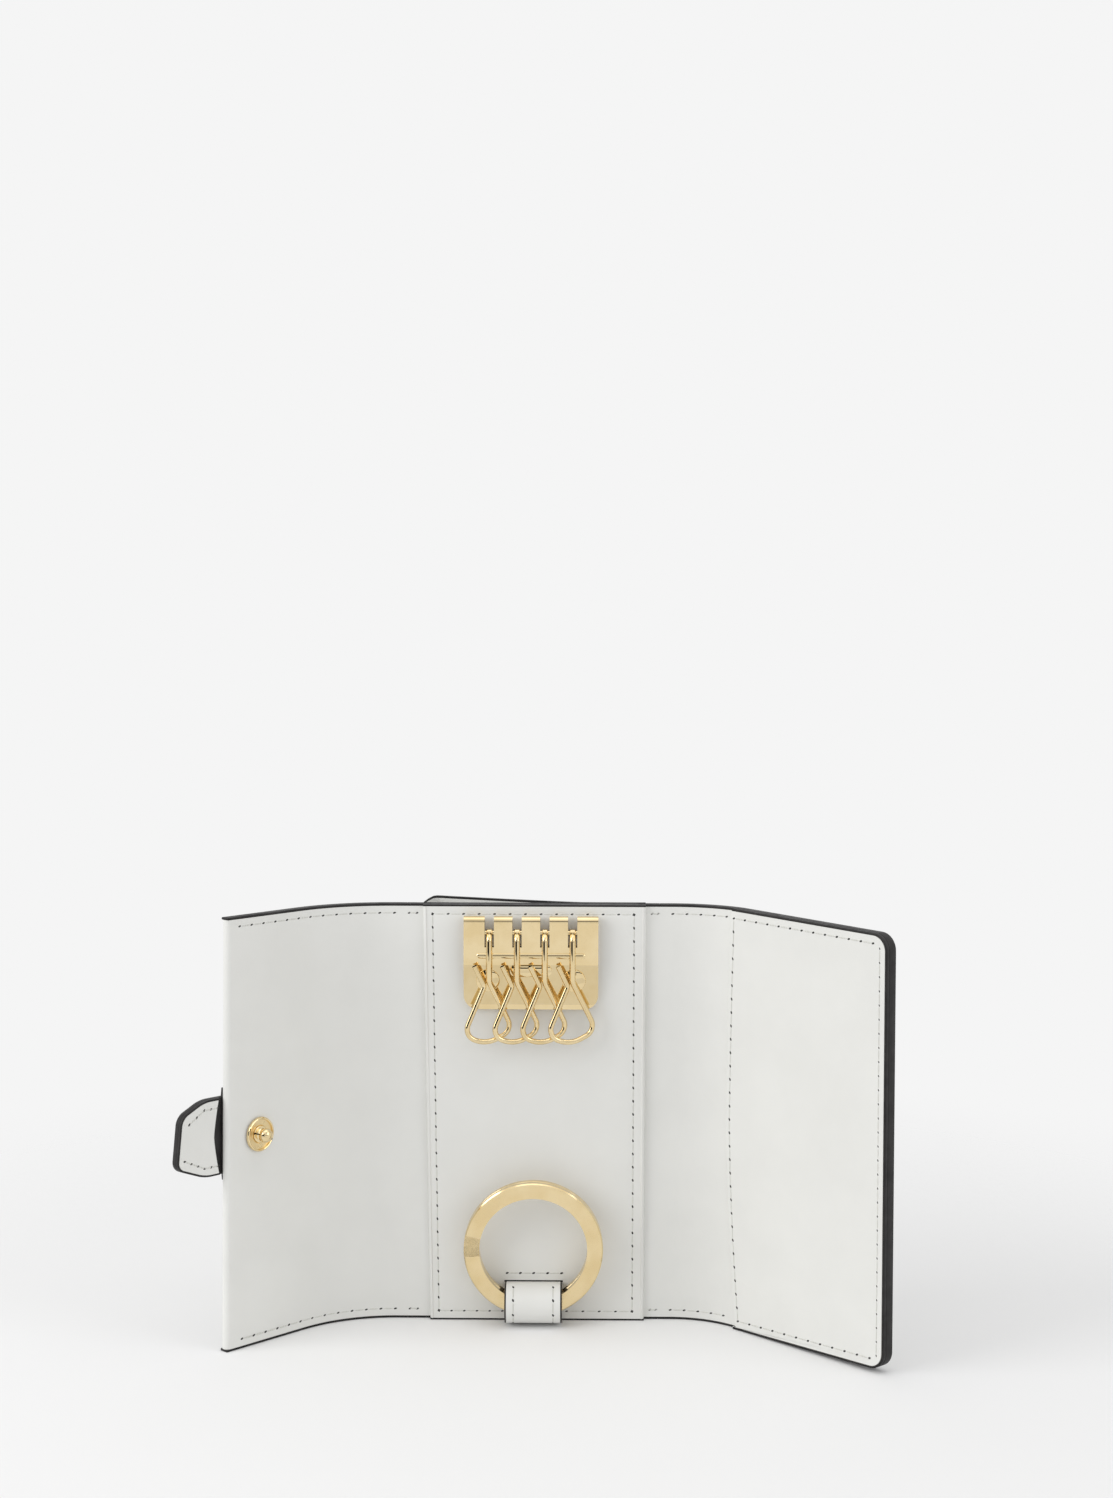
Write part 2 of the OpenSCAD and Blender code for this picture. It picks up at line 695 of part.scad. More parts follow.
// Snap post: a ringed foot with a neck and a round head, clinched through the flap
module snap_post() color(metal_colour)
    at_flap(left_side)
        translate([snap_s, 0, closure_z])
            rotate([90, 0, 0])
                union() {
                    rotate_extrude($fn = round_fn)
                        difference() {
                            square([post_foot_d / 2, post_foot_h]);
                            translate([post_neck_d / 2 + post_foot_h, post_foot_h / 2])
                                square([post_foot_d / 2 - post_neck_d / 2 - 2 * post_foot_h, post_foot_h]);
                        }
                    cylinder(h = post_h - post_head_d / 2, d = post_neck_d, $fn = round_fn);
                    translate([0, 0, post_h - post_head_d / 2]) post_head();
                    translate([0, 0, -flap_t - tab_tongue_t]) cylinder(h = flap_t + tab_tongue_t, d = shank_d - 2 * hole_play, $fn = round_fn);
                }
module post_head()
    rotate_extrude($fn = round_fn)
        intersection() {
            circle(d = post_head_d, $fn = round_fn);
            translate([0, -post_head_d / 2]) square([post_head_d / 2, post_head_d]);
        }

// Snap cap on the outside of the tab
module snap_cap() color(metal_colour)
    at_flap(left_side)
        translate([snap_s, flap_t + tab_tongue_t, closure_z])
            rotate([-90, 0, 0])
                rotate_extrude($fn = round_fn) {
                    dome_r = (cap_d * cap_d / 4 + (cap_h - cap_rim) * (cap_h - cap_rim)) / (2 * (cap_h - cap_rim));
                    square([cap_d / 2, cap_rim]);
                    intersection() {
                        translate([0, cap_h - dome_r]) circle(r = dome_r, $fn = 4 * round_fn);
                        square([cap_d / 2, cap_h]);
                    }
                }

// Tab: a base sewn on the outside of the flap, and a tongue that flexes past its edge
base_low_s = snap_s - cap_d / 2 - tab_base_inset / 2;
base_high_s = left_flap_l + tab_gap;
module tab_base_outline(inset)
    translate([base_low_s + inset, closure_z - tab_base_w / 2 + inset]) {
        w = base_high_s - base_low_s - 2 * inset;
        h = tab_base_w - 2 * inset;
        r = tab_back_r - inset;
        translate([r, 0]) square([w - r, h]);
        translate([0, r]) square([w, h - 2 * r]);
        for (z = [r, h - r])
            translate([r, z]) circle(r = r, $fn = round_fn);
    }
module tab_base() color(leather_colour)
    at_flap(left_side)
        difference() {
            plate(flap_t, flap_t + tab_tongue_t) tab_base_outline(tab_edge_w);
            snap_hole(0, flap_t + tab_tongue_t + overrun, shank_d);
        }
module tab_base_edge() color(edge_colour)
    at_flap(left_side)
        plate(flap_t, flap_t + tab_tongue_t)
            difference() {
                tab_base_outline(0);
                tab_base_outline(tab_edge_w);
            }

tongue_s = base_high_s + tab_gap;
function tongue_half(along) =
    let (shoulder = tab_shoulder_share * tab_l)
    along < shoulder ? tab_w / 2
    : tab_w / 2 * (1 - (1 - tab_tip_share) * (along - shoulder) / (tab_l - shoulder));
tip_half = tongue_half(tab_l);
tip_slope = atan((tab_w / 2 - tip_half) / (tab_l * (1 - tab_shoulder_share)));
function tongue_points(inset) =
    let (
        r = tab_tip_r - inset,
        end = tab_l - inset,
        shoulder = tab_shoulder_share * tab_l,
        centre_up = tip_half - inset / cos(tip_slope) + (inset + r) * tan(tip_slope) - r / cos(tip_slope),
        upper = concat(
            [[shoulder, tab_w / 2 - inset]],
            arc_points([end - r, centre_up], r, 90 - tip_slope, 0, 8)
        )
    )
    concat(
        [[0, tab_w / 2 - inset]],
        upper,
        [for (i = [len(upper) - 1 : -1 : 0]) [upper[i].x, -upper[i].y]],
        [[0, -tab_w / 2 + inset]]
    );
module tongue_outline(inset) translate([tongue_s, closure_z]) polygon(tongue_points(inset));

module tab_tongue() color(leather_colour)
    at_flap(left_side)
        plate(flap_t, flap_t + tab_tongue_t) tongue_outline(tab_edge_w);
module tab_lining() color(lining_colour)
    at_flap(left_side)
        plate(flap_t - lining_t, flap_t)
            difference() {
                tongue_outline(tab_edge_w);
                translate([tongue_s - tab_w, closure_z]) circle(r = tab_w + tab_lining_bow, $fn = 4 * round_fn);
            }
module tab_edge() color(edge_colour)
    at_flap(left_side) {
        plate(flap_t, flap_t + tab_tongue_t)
            difference() {
                tongue_outline(0);
                tongue_outline(tab_edge_w);
            }
        plate(flap_t - lining_t, flap_t)
            difference() {
                tongue_outline(0);
                tongue_outline(tab_edge_w);
                translate([tongue_s - tab_w, closure_z]) circle(r = tab_w + tab_lining_bow, $fn = 4 * round_fn);
            }
    }

// Right spine and bend
module right_spine_shell() color(leather_colour) spine_layer(right_side, shell_d, flap_t, layer_z0, layer_z1);
module right_spine_lining() color(lining_colour) spine_layer(right_side, 0, shell_d, layer_z0, layer_z1);
module right_spine_edge() color(edge_colour) {
    spine_layer(right_side, 0, flap_t, 0, edge_t);
    spine_layer(right_side, 0, flap_t, layer_z1, case_h);
}
module right_bend_shell() color(leather_colour) bend_layer(right_side, shell_d, flap_t, layer_z0, layer_z1);
module right_bend_lining() color(lining_colour) bend_layer(right_side, 0, shell_d, layer_z0, layer_z1);
module right_bend_edge() color(edge_colour) {
    bend_layer(right_side, 0, flap_t, 0, edge_t);
    bend_layer(right_side, 0, flap_t, layer_z1, case_h);
}

// Right flap: tapered, with rounded corners at its free edge
taper_slope = atan(right_taper / right_flap_l);
function flap_points(inset) =
    let (
        r = corner_r - inset,
        end = right_flap_l - inset,
        low = right_taper * (end - r) / right_flap_l + inset / cos(taper_slope) + r / cos(taper_slope)
    )
    concat(
        [[seam, inset]],
        arc_points([end - r, low], r, -90 + taper_slope, 0, 10),
        arc_points([end - r, case_h - low], r, 0, 90 - taper_slope, 10),
        [[seam, case_h - inset]]
    );
module flap_outline(inset) polygon(flap_points(inset));

module socket_hole(d0, d1, d)
    translate([socket_s, d1, closure_z])
        rotate([90, 0, 0])
            cylinder(h = d1 - d0, d = d, $fn = round_fn);

module right_flap_shell() color(leather_colour)
    at_flap(right_side)
        difference() {
            plate(shell_d, flap_t) flap_outline(edge_t);
            socket_hole(shell_d - overrun, flap_t + overrun, socket_tube_d);
        }
module right_flap_board() color(board_colour)
    at_flap(right_side)
        difference() {
            plate(board_d, shell_d) flap_outline(edge_t);
            socket_hole(0, shell_d + overrun, flange_d);
        }
module right_flap_lining() color(lining_colour)
    at_flap(right_side)
        plate(0, board_d) flap_outline(edge_t);

// Card pocket on the inside of the right flap, open towards the bend
mouth_s = 0.5;
function mouth_at(z) =
    let (share = z / case_h)
    mouth_s + mouth_slant * pow(max(0, 0.5 - share) * 2, 1.6) + mouth_slant / 4 * pow(max(0, share - 0.5) * 2, 1.6);
module card_pocket() color(lining_colour)
    at_flap(right_side)
        plate(-card_leather_t, 0)
            difference() {
                flap_outline(edge_t);
                polygon(concat(
                    [[-corner_r, case_h + overrun], [-corner_r, -overrun]],
                    [for (i = [0 : 12]) [mouth_at(case_h * i / 12), i == 0 ? -overrun : i == 12 ? case_h + overrun : case_h * i / 12]]
                ));
            }
module right_flap_edge() color(edge_colour)
    at_flap(right_side) {
        plate(0, flap_t)
            difference() {
                flap_outline(0);
                flap_outline(edge_t);
            }
        plate(-card_leather_t, 0)
            difference() {
                flap_outline(0);
                flap_outline(edge_t);
                translate([-corner_r, -overrun]) square([corner_r + mouth_at(0), case_h / 2]);
                translate([-corner_r, case_h / 2]) square([corner_r + mouth_at(case_h), case_h]);
            }
    }

// Snap socket on the outside of the right flap, clinched to a flange under the lining
module snap_socket() color(metal_colour)
    at_flap(right_side)
        translate([socket_s, flap_t, closure_z])
            rotate([-90, 0, 0])
                difference() {
                    union() {
                        cylinder(h = socket_proud, d = socket_d, $fn = round_fn);
                        translate([0, 0, -shell_t]) cylinder(h = shell_t, d = socket_tube_d - 2 * hole_play, $fn = round_fn);
                    }
                    translate([0, 0, -shell_t - overrun])
                        cylinder(h = shell_t + socket_proud + 2 * overrun, d = post_bore_d, $fn = round_fn);
                    translate([0, 0, socket_proud / 2])
                        difference() {
                            cylinder(h = socket_proud, d = socket_d - 2 * socket_proud, $fn = round_fn);
                            cylinder(h = socket_proud, d = post_bore_d + socket_proud, $fn = round_fn);
                        }
                }
module socket_flange() color(metal_colour)
    at_flap(right_side)
        difference() {
            socket_hole(board_d, shell_d, flange_d - 2 * hole_play);
            socket_hole(board_d - overrun, shell_d + overrun, post_bore_d);
        }

centre_shell();
centre_board();
centre_lining();
centre_edge();
back_pocket();
back_pocket_edge();
left_crease();
right_crease();
rail_plate();
rail_pin();
rail_rivets();
rivet_washers();
hook_1();
hook_2();
hook_3();
hook_4();
split_ring();
ring_strap();
strap_edge();
left_spine_shell();
left_spine_lining();
left_spine_edge();
left_bend_shell();
left_bend_lining();
left_bend_edge();
left_flap_shell();
left_flap_board();
left_flap_lining();
left_flap_edge();
snap_post();
snap_cap();
tab_base();
tab_base_edge();
tab_tongue();
tab_lining();
tab_edge();
right_spine_shell();
right_spine_lining();
right_spine_edge();
right_bend_shell();
right_bend_lining();
right_bend_edge();
right_flap_shell();
right_flap_board();
right_flap_lining();
right_flap_edge();
card_pocket();
snap_socket();
socket_flange();
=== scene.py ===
import json
import math
import bpy
import bmesh
from mathutils import Matrix, Vector


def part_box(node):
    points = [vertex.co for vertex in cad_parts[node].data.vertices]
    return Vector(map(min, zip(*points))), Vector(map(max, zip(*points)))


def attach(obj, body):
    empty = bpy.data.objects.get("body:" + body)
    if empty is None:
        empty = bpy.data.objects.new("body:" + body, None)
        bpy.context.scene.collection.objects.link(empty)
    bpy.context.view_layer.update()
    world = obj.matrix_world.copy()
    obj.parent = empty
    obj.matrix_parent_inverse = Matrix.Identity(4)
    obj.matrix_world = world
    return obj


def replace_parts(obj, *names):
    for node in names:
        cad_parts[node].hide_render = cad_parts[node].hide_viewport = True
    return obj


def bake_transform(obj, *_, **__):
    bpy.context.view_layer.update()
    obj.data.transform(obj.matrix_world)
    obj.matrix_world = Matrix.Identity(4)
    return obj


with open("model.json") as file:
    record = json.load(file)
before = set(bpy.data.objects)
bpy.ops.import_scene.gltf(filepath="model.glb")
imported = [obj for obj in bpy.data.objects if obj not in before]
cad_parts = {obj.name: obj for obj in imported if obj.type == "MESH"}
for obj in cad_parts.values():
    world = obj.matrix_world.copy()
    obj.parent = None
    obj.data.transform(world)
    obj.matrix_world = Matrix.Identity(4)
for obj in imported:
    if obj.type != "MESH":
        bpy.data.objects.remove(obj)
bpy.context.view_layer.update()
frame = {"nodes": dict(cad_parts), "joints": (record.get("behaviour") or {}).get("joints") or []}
nodes = frame["nodes"]
joints = {joint["name"]: joint for joint in frame["joints"]}
scene = bpy.context.scene
mm = 0.001

print("camera")
camera = {
    "place": (10.25 * mm, -600.03 * mm, 192.05 * mm),
    "down": 4.621,  # degrees below level
    "left": 0.470,  # turned to the left
    "tilt": 0.167,  # the right side of the picture turned up
    "lens": 78.99,
    "sensor": 36,
    "near": 10 * mm,  # nothing nearer is drawn
}
cameraObject = bpy.data.objects.new("camera", bpy.data.cameras.new("camera"))
scene.collection.objects.link(cameraObject)
cameraObject.data.sensor_fit = "HORIZONTAL"
cameraObject.data.sensor_width = camera["sensor"]
cameraObject.data.lens = camera["lens"]
cameraObject.data.clip_start = camera["near"]
cameraObject.matrix_world = (
    Matrix.Translation(camera["place"])
    @ Matrix.Rotation(math.radians(camera["left"]), 4, "Z")
    @ Matrix.Rotation(math.radians(90 - camera["down"]), 4, "X")
    @ Matrix.Rotation(math.radians(camera["tilt"]), 4, "Z")
)
scene.camera = cameraObject
scene.view_settings.view_transform = "Standard"


# Materials

def newMaterial(name):
    material = bpy.data.materials.new(name)
    material.use_nodes = True
    tree = material.node_tree
    shader = tree.nodes["Principled BSDF"]
    coordinates = tree.nodes.new("ShaderNodeTexCoord")
    return material, tree, shader, coordinates.outputs["Object"]


def setInputs(node, values):
    for name, value in values.items():
        node.inputs[name].default_value = value


def addNode(tree, kind, source, entry, **values):
    # a node that reads the source through one of its inputs
    node = tree.nodes.new("ShaderNode" + kind)
    setInputs(node, values)
    tree.links.new(source, node.inputs[entry])
    return node


def mixShaders(tree, share, first, second, output):
    mix = addNode(tree, "MixShader", share, "Fac")
    tree.links.new(first.outputs[0], mix.inputs[1])
    tree.links.new(second.outputs[0], mix.inputs[2])
    tree.links.new(mix.outputs[0], tree.nodes[output].inputs["Surface"])


def addNoise(tree, source, scale, detail=4, roughness=0.55, stretch=None):
    if stretch:
        source = addNode(tree, "Mapping", source, "Vector", Scale=stretch).outputs["Vector"]
    noise = addNode(tree, "TexNoise", source, "Vector", Scale=scale, Detail=detail, Roughness=roughness)
    return noise.outputs["Fac"]


noiseBand = (0.3, 0.7)  # where most of a noise's values lie
colourBand = (0.35, 0.65)


def spread(tree, value, low, high):
    values = {"From Min": noiseBand[0], "From Max": noiseBand[1], "To Min": low, "To Max": high}
    return addNode(tree, "MapRange", value, "Value", **values).outputs["Result"]


def twoColours(tree, value, colourA, colourB):
    ramp = addNode(tree, "ValToRGB", value, "Fac")
    for stop, place, colour in zip(ramp.color_ramp.elements, colourBand, (colourA, colourB)):
        stop.position = place
        stop.color = (*colour, 1)
    return ramp.outputs["Color"]


def addBump(tree, shader, height, strength, distance):
    bump = addNode(tree, "Bump", height, "Height", Strength=strength, Distance=distance)
    if shader.inputs["Normal"].is_linked:
        tree.links.new(shader.inputs["Normal"].links[0].from_socket, bump.inputs["Normal"])
    tree.links.new(bump.outputs["Normal"], shader.inputs["Normal"])


def paint(tree, shader, place, look, finish="roughness", shade=1, stretch=None):
    # patches of two close tones, and an uneven sheen
    deep, light = ([c * shade for c in look[tone]] for tone in ("deep", "light"))
    colour = twoColours(tree, addNoise(tree, place, *look["patches"]), deep, light)
    tree.links.new(colour, shader.inputs["Base Color"])
    sheen = spread(tree, addNoise(tree, place, *look["sheen"], stretch=stretch), *look[finish])
    tree.links.new(sheen, shader.inputs["Roughness"])


# In the looks a noise is (scale, detail) or (scale, detail, roughness), and a bump (strength, depth)

calfLook = {
    "light": (0.775, 0.775, 0.748),
    "deep": (0.752, 0.752, 0.725),
    "patches": (60, 3),
    "sheen": (300, 3),
    "roughness": (0.42, 0.54),
    "grainScale": 2600,
    "grainBump": (0.18, 0.02 * mm),
    "pores": (900, 5),
    "poreBump": (0.12, 0.04 * mm),
    "pull": (45, 2),
    "pullBump": (0.10, 0.3 * mm),
    "gloss": 0.35,
    "coverShade": 0.99,  # of the outer leather, beside the lining
}


def makeCalf(name, look, shade=1.0):
    material, tree, shader, place = newMaterial(name)
    paint(tree, shader, place, look, shade=shade)
    cells = addNode(tree, "TexVoronoi", place, "Vector", Scale=look["grainScale"])
    cells.feature = "DISTANCE_TO_EDGE"
    addBump(tree, shader, cells.outputs["Distance"], *look["grainBump"])
    addBump(tree, shader, addNoise(tree, place, *look["pores"]), *look["poreBump"])
    addBump(tree, shader, addNoise(tree, place, *look["pull"]), *look["pullBump"])
    setInputs(shader, {"Specular IOR Level": look["gloss"]})
    return material


# black edge dressing; the same black also paints the shadow in the gap at the tab's root
dressingAndShadowLook = {
    "light": (0.022, 0.020, 0.020),
    "deep": (0.011, 0.010, 0.010),
    "patches": (220, 4),
    "sheen": (500, 3),
    "roughness": (0.42, 0.6),
    "strokes": (700, 4, 0.6, (0.3, 0.3, 1)),
    "strokeBump": (0.3, 0.08 * mm),
    "gloss": 0.3,
}


def makeDressingAndShadow(look):
    material, tree, shader, place = newMaterial("edgeDressingAndShadow")
    paint(tree, shader, place, look)
    addBump(tree, shader, addNoise(tree, place, *look["strokes"]), *look["strokeBump"])
    setInputs(shader, {"Specular IOR Level": look["gloss"]})
    return material


giltLook = {
    "light": (0.86, 0.70, 0.42),
    "deep": (0.80, 0.63, 0.35),
    "patches": (160, 3),
    "sheen": (900, 4, 0.6),
    "polished": (0.02, 0.06),
    "brushed": (0.10, 0.18),
    "punched": (0.25, 0.4),
    "scratches": (4000, 3, 0.6),
    "fineBump": (0.006, 0.01 * mm),
    "coarseBump": (0.9, 0.01 * mm),
    "waves": (60, 2),
    "waveBump": (0.02, 0.1 * mm),
    "rolled": (1, 1, 0.25),  # sheet is streaked up and down
}


def makeGilt(name, look, finish, bump="fineBump", stretch=None):
    material, tree, shader, place = newMaterial(name)
    paint(tree, shader, place, look, finish, stretch=stretch)
    setInputs(shader, {"Metallic": 1})
    addBump(tree, shader, addNoise(tree, place, *look["scratches"], stretch=stretch), *look[bump])
    addBump(tree, shader, addNoise(tree, place, *look["waves"]), *look["waveBump"])
    return material


threadAndHoleShadeLook = {
    "pale": ((0.58, 0.58, 0.54), (0.70, 0.70, 0.66)),
    # the needle holes' near-black tones are painted shade in the holes
    "hole": ((0.02, 0.02, 0.02), (0.05, 0.05, 0.045)),
    "twistScale": 900,
    "twistBump": (0.4, 0.05 * mm),
    "uneven": 2,
    "roughness": 0.7,
}


def makeThreadAndHoleShade(name, look, tone):
    material, tree, shader, place = newMaterial(name)
    twist = addNode(tree, "TexWave", place, "Vector", Scale=look["twistScale"], Distortion=look["uneven"])
    tree.links.new(twoColours(tree, twist.outputs["Fac"], *look[tone]), shader.inputs["Base Color"])
    addBump(tree, shader, twist.outputs["Fac"], *look["twistBump"])
    setInputs(shader, {"Roughness": look["roughness"]})
    return material


calf = makeCalf("offWhiteCalf", calfLook)
coverCalf = makeCalf("coverCalf", calfLook, calfLook["coverShade"])
edgeDressingAndShadow = makeDressingAndShadow(dressingAndShadowLook)
polishedGilt = makeGilt("polishedGilt", giltLook, "polished")
sheetGilt = makeGilt("sheetGilt", giltLook, "polished", stretch=giltLook["rolled"])
punchedGilt = makeGilt("punchedGilt", giltLook, "punched", "coarseBump")
ringGilt = makeGilt("ringGilt", giltLook, "brushed")
paleThread = makeThreadAndHoleShade("paleThread", threadAndHoleShadeLook, "pale")
holeShadeMaterial = makeThreadAndHoleShade("needleHoleShade", threadAndHoleShadeLook, "hole")


# Plain helpers for pieces

touch = 0.001 * mm  # anything nearer than this counts as the same place
sharp = 0.6  # an edge that turns more than this stays crisp, in radians
cornerTurn = 0.9  # and one that turns more than this can be softened


def makePiece(name, bm, material):
    bmesh.ops.remove_doubles(bm, verts=bm.verts[:], dist=touch / 10)
    bmesh.ops.recalc_face_normals(bm, faces=bm.faces[:])
    mesh = bpy.data.meshes.new(name)
    bm.to_mesh(mesh)
    bm.free()
    mesh.materials.append(material)
    mesh.shade_smooth()
    mesh.set_sharp_from_angle(angle=sharp)
    piece = bpy.data.objects.new(name, mesh)
    scene.collection.objects.link(piece)
    return piece


def placePiece(name, bm, material, body="centre_panel"):
    piece = makePiece(name, bm, material)
    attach(piece, body)
    return piece


def cutSheet(corners):
    bm = bmesh.new()
    bm.faces.new([bm.verts.new((x, 0, z)) for x, z in corners])
    return bm


def roundCorners(bm, picks, radius, segments=8):
    for pick in picks:
        corner = min(bm.verts, key=lambda v: (v.co - Vector((pick[0], 0, pick[1]))).length)
        bmesh.ops.bevel(bm, geom=[corner], offset=radius, offset_type="OFFSET", segments=segments,
                        profile=0.5, affect="VERTICES", material=-1)


def cutPlane(bm, place, way, clearBefore=False, clearAfter=False):
    bmesh.ops.bisect_plane(bm, geom=bm.verts[:] + bm.edges[:] + bm.faces[:], dist=touch / 100, plane_co=place,
                           plane_no=way, clear_inner=clearBefore, clear_outer=clearAfter)


def cutAt(bm, along, clearBefore=False, clearAfter=False):
    cutPlane(bm, (along, 0, 0), (1, 0, 0), clearBefore, clearAfter)


def cutUp(bm, up):
    cutPlane(bm, (0, 0, up), (0, 0, 1))


def moveNew(bm, grown, way):
    # what an extrusion has made is carried along
    bmesh.ops.translate(bm, verts=[g for g in grown["geom"] if isinstance(g, bmesh.types.BMVert)], vec=way)


def growFaces(bm, way):
    moveNew(bm, bmesh.ops.extrude_face_region(bm, geom=bm.faces[:], use_keep_orig=True), way)


def thicken(bm, depthA, depthB):
    bmesh.ops.translate(bm, verts=bm.verts[:], vec=(0, depthA, 0))
    growFaces(bm, (0, depthB - depthA, 0))
    bmesh.ops.recalc_face_normals(bm, faces=bm.faces[:])


def run(edge, axis):
    # how far an edge goes along one axis
    return abs(edge.verts[0].co[axis] - edge.verts[1].co[axis])


def roundEdges(bm, edges, radius, segments=3, clamp=False):
    bmesh.ops.bevel(bm, geom=edges, offset=radius, offset_type="OFFSET", segments=segments, profile=0.5,
                    affect="EDGES", clamp_overlap=clamp, material=-1)


def softenEdges(bm, pick, radius, segments=3):
    folded = [e for e in bm.edges if len(e.link_faces) == 2 and e.calc_face_angle(0) > cornerTurn]
    picked = [e for e in folded if pick(e)]
    if picked:
        roundEdges(bm, picked, radius, segments, clamp=True)


def keepRim(bm, width, rim):
    # insets every outer edge of a flat outline, and keeps the rim or what it leaves
    bm.normal_update()
    inset = bmesh.ops.inset_region(bm, faces=bm.faces[:], thickness=width, use_even_offset=True,
                                   use_boundary=True)
    ring = set(inset["faces"])
    gone = [f for f in bm.faces if (f in ring) != rim]
    bmesh.ops.delete(bm, geom=gone, context="FACES")


# Stitching: thread in a faint groove, with a dark bead of painted shade for the needle hole at each end of a
# stitch

stitching = {
    "inside": 2.35 * mm,  # from the edge of the leather
    "pitch": 3.7 * mm,
    "columnPitch": 3.35 * mm,
    "groove": 0.08 * mm,
    "grooveHalf": 0.8 * mm,
    "thread": (0.2 * mm, 0.09 * mm, 1.35 * mm),  # half width, height, half length
    # a needle hole is drawn as a small dark bead of painted shade, given as half width, height, half length;
    # faint ones are smaller
    "hole": (0.25 * mm, 0.07 * mm, 0.42 * mm),
    "faint": (0.17 * mm, 0.05 * mm, 0.3 * mm),
    "slant": 0.35,  # of a needle hole, in radians
    "ahead": 0.1,  # of a stitch: a bead points there from its own place
}
sewn = {}


def addBead(bm, surface, spot, ahead, look, slant):
    # a small pointed bead that lies along the row
    place = surface(*spot, 0)
    onward = (surface(*ahead, 0) - place).normalized()
    outward = (surface(*spot, stitching["groove"]) - place).normalized()
    across = outward.cross(onward)
    turn = Matrix((across, outward, onward)).transposed().to_4x4()
    lie = Matrix.Translation(place) @ turn @ Matrix.Rotation(slant, 4, "Y") @ Matrix.Diagonal((*look, 1))
    bmesh.ops.create_uvsphere(bm, u_segments=8, v_segments=6, radius=1, matrix=lie)


def sew(name, surface, line, length, pitch, first=True, last=True, hole="hole"):
    thread, holes = sewn.setdefault(name, (bmesh.new(), bmesh.new()))
    count = max(1, round(length / pitch))

    def bead(bm, at, look, slant):
        addBead(bm, surface, line(at / count), line((at + stitching["ahead"]) / count), look, slant)

    for i in range(count + 1):
        if (i or first) and (i < count or last):
            bead(holes, i, stitching[hole], stitching["slant"])
        if i < count:
            bead(thread, i + 0.5, stitching["thread"], 0)


def straight(start, end):
    return lambda share: tuple(a + (b - a) * share for a, b in zip(start, end))


def sewLine(name, surface, start, end, pitch, **ends):
    sew(name, surface, straight(start, end), math.dist(start, end), pitch, **ends)


def finishSewing(name, follow):
    # each row gets its pale thread and the painted shade of its needle holes
    for suffix, bm, material in zip(("Thread", "HoleShades"), sewn.pop(name), (paleThread, holeShadeMaterial)):
        piece = makePiece(name + suffix, bm, material)
        follow(piece)


# Panels: each one is cut flat, in (along, depth, up), and laid on its bend

panel = {
    "leftFree": (-1.8 * mm, -2.9 * mm),  # how the free edge stands to the cut part's, at its foot and head
    "rightFree": (1.6 * mm, 1.0 * mm),
    "leftSplay": 1.4 * mm,  # how far the left flap's foot comes forward
    "splayRun": 40 * mm,  # it does so over this length,
    "splayRise": 105 * mm,  # and up to this height
    "rim": 0.6 * mm,  # black dressing drawn over the leather's corner
    "rimProud": 0.04 * mm,
    "rimSoft": 0.24 * mm,
    "liningShare": 0.52,  # of the flap's thickness
    "bendCuts": 16,
    "over": 3 * mm,  # a sheet is cut this much too long, and then trimmed
}
crease = {
    "under": 2.3 * mm,  # the spine's lining begins this far under the pad
    "before": 0.3 * mm,  # the leather bends from here
    "after": 1.6 * mm,  # to here
    "cuts": 12,
}


def readPanel(side):
    fold = joints[side + "_crease_fold"]["pos_m"][0]
    pivot = joints[side + "_flap_fold"]["pos_m"][0]
    angle = math.radians(joints[side + "_flap_fold"]["range_deg"][1])
    low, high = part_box(side + "_spine_shell")
    sign = 1 if fold > 0 else -1
    spineEnd = high.x if sign > 0 else low.x
    setback = abs(pivot - spineEnd)
    radius = setback / math.tan(angle / 2)
    plan = {"side": side, "sign": sign, "fold": abs(fold), "straight": abs(spineEnd - fold), "angle": angle,
            "radius": radius, "arc": radius * angle, "thick": high.y}
    plan["flapStart"] = plan["straight"] + plan["arc"]
    along = Vector((math.cos(angle), -math.sin(angle)))
    start = onPanel(plan, plan["flapStart"], 0, 0)
    start = Vector((abs(start.x), start.y))
    edge = nodes[side + "_flap_edge"].data.vertices
    plan["reach"] = plan["flapStart"] + max((Vector((abs(v.co.x), v.co.y)) - start).dot(along) for v in edge)
    plan["mid"] = plan["straight"] / 2
    plan["free"] = [plan["reach"] + shift for shift in panel[side + "Free"]]
    return plan


def onPanel(plan, along, depth, up):
    begin, radius, angle = plan["straight"], plan["radius"], plan["angle"]
    if along <= begin:
        x, y = along, depth
    else:
        turn = min(angle, (along - begin) / radius)
        beyond = max(0, along - begin - plan["arc"])
        x = begin + (radius + depth) * math.sin(turn) + beyond * math.cos(turn)
        y = -radius + (radius + depth) * math.cos(turn) - beyond * math.sin(turn)
    if plan["side"] == "left" and along > begin:
        share = min(1, (along - begin) / panel["splayRun"]) * max(0, 1 - up / panel["splayRise"])
        y -= panel["leftSplay"] * share
    return Vector((plan["sign"] * (plan["fold"] + x), y, up))


def layOnPanel(bm, plan):
    cuts = panel["bendCuts"]
    low = min(v.co.x for v in bm.verts)
    high = max(v.co.x for v in bm.verts)
    for i in range(cuts + 1):
        along = plan["straight"] + plan["arc"] * i / cuts
        if low + touch < along < high - touch:
            cutAt(bm, along)
    for v in bm.verts:
        v.co = onPanel(plan, v.co.x, v.co.y, v.co.z)


def panelPoint(plan, along, depth=0):
    return tuple(onPanel(plan, along, depth, 0))


def bendWithFlap(piece, plan):
    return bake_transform(piece, plan["side"] + "_spine", plan["side"] + "_flap",
                    start=panelPoint(plan, plan["straight"]), end=panelPoint(plan, plan["flapStart"]))


def bendWithCrease(piece, plan):
    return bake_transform(piece, "centre_panel", plan["side"] + "_spine",
                    start=panelPoint(plan, -crease["before"]), end=panelPoint(plan, crease["after"]))


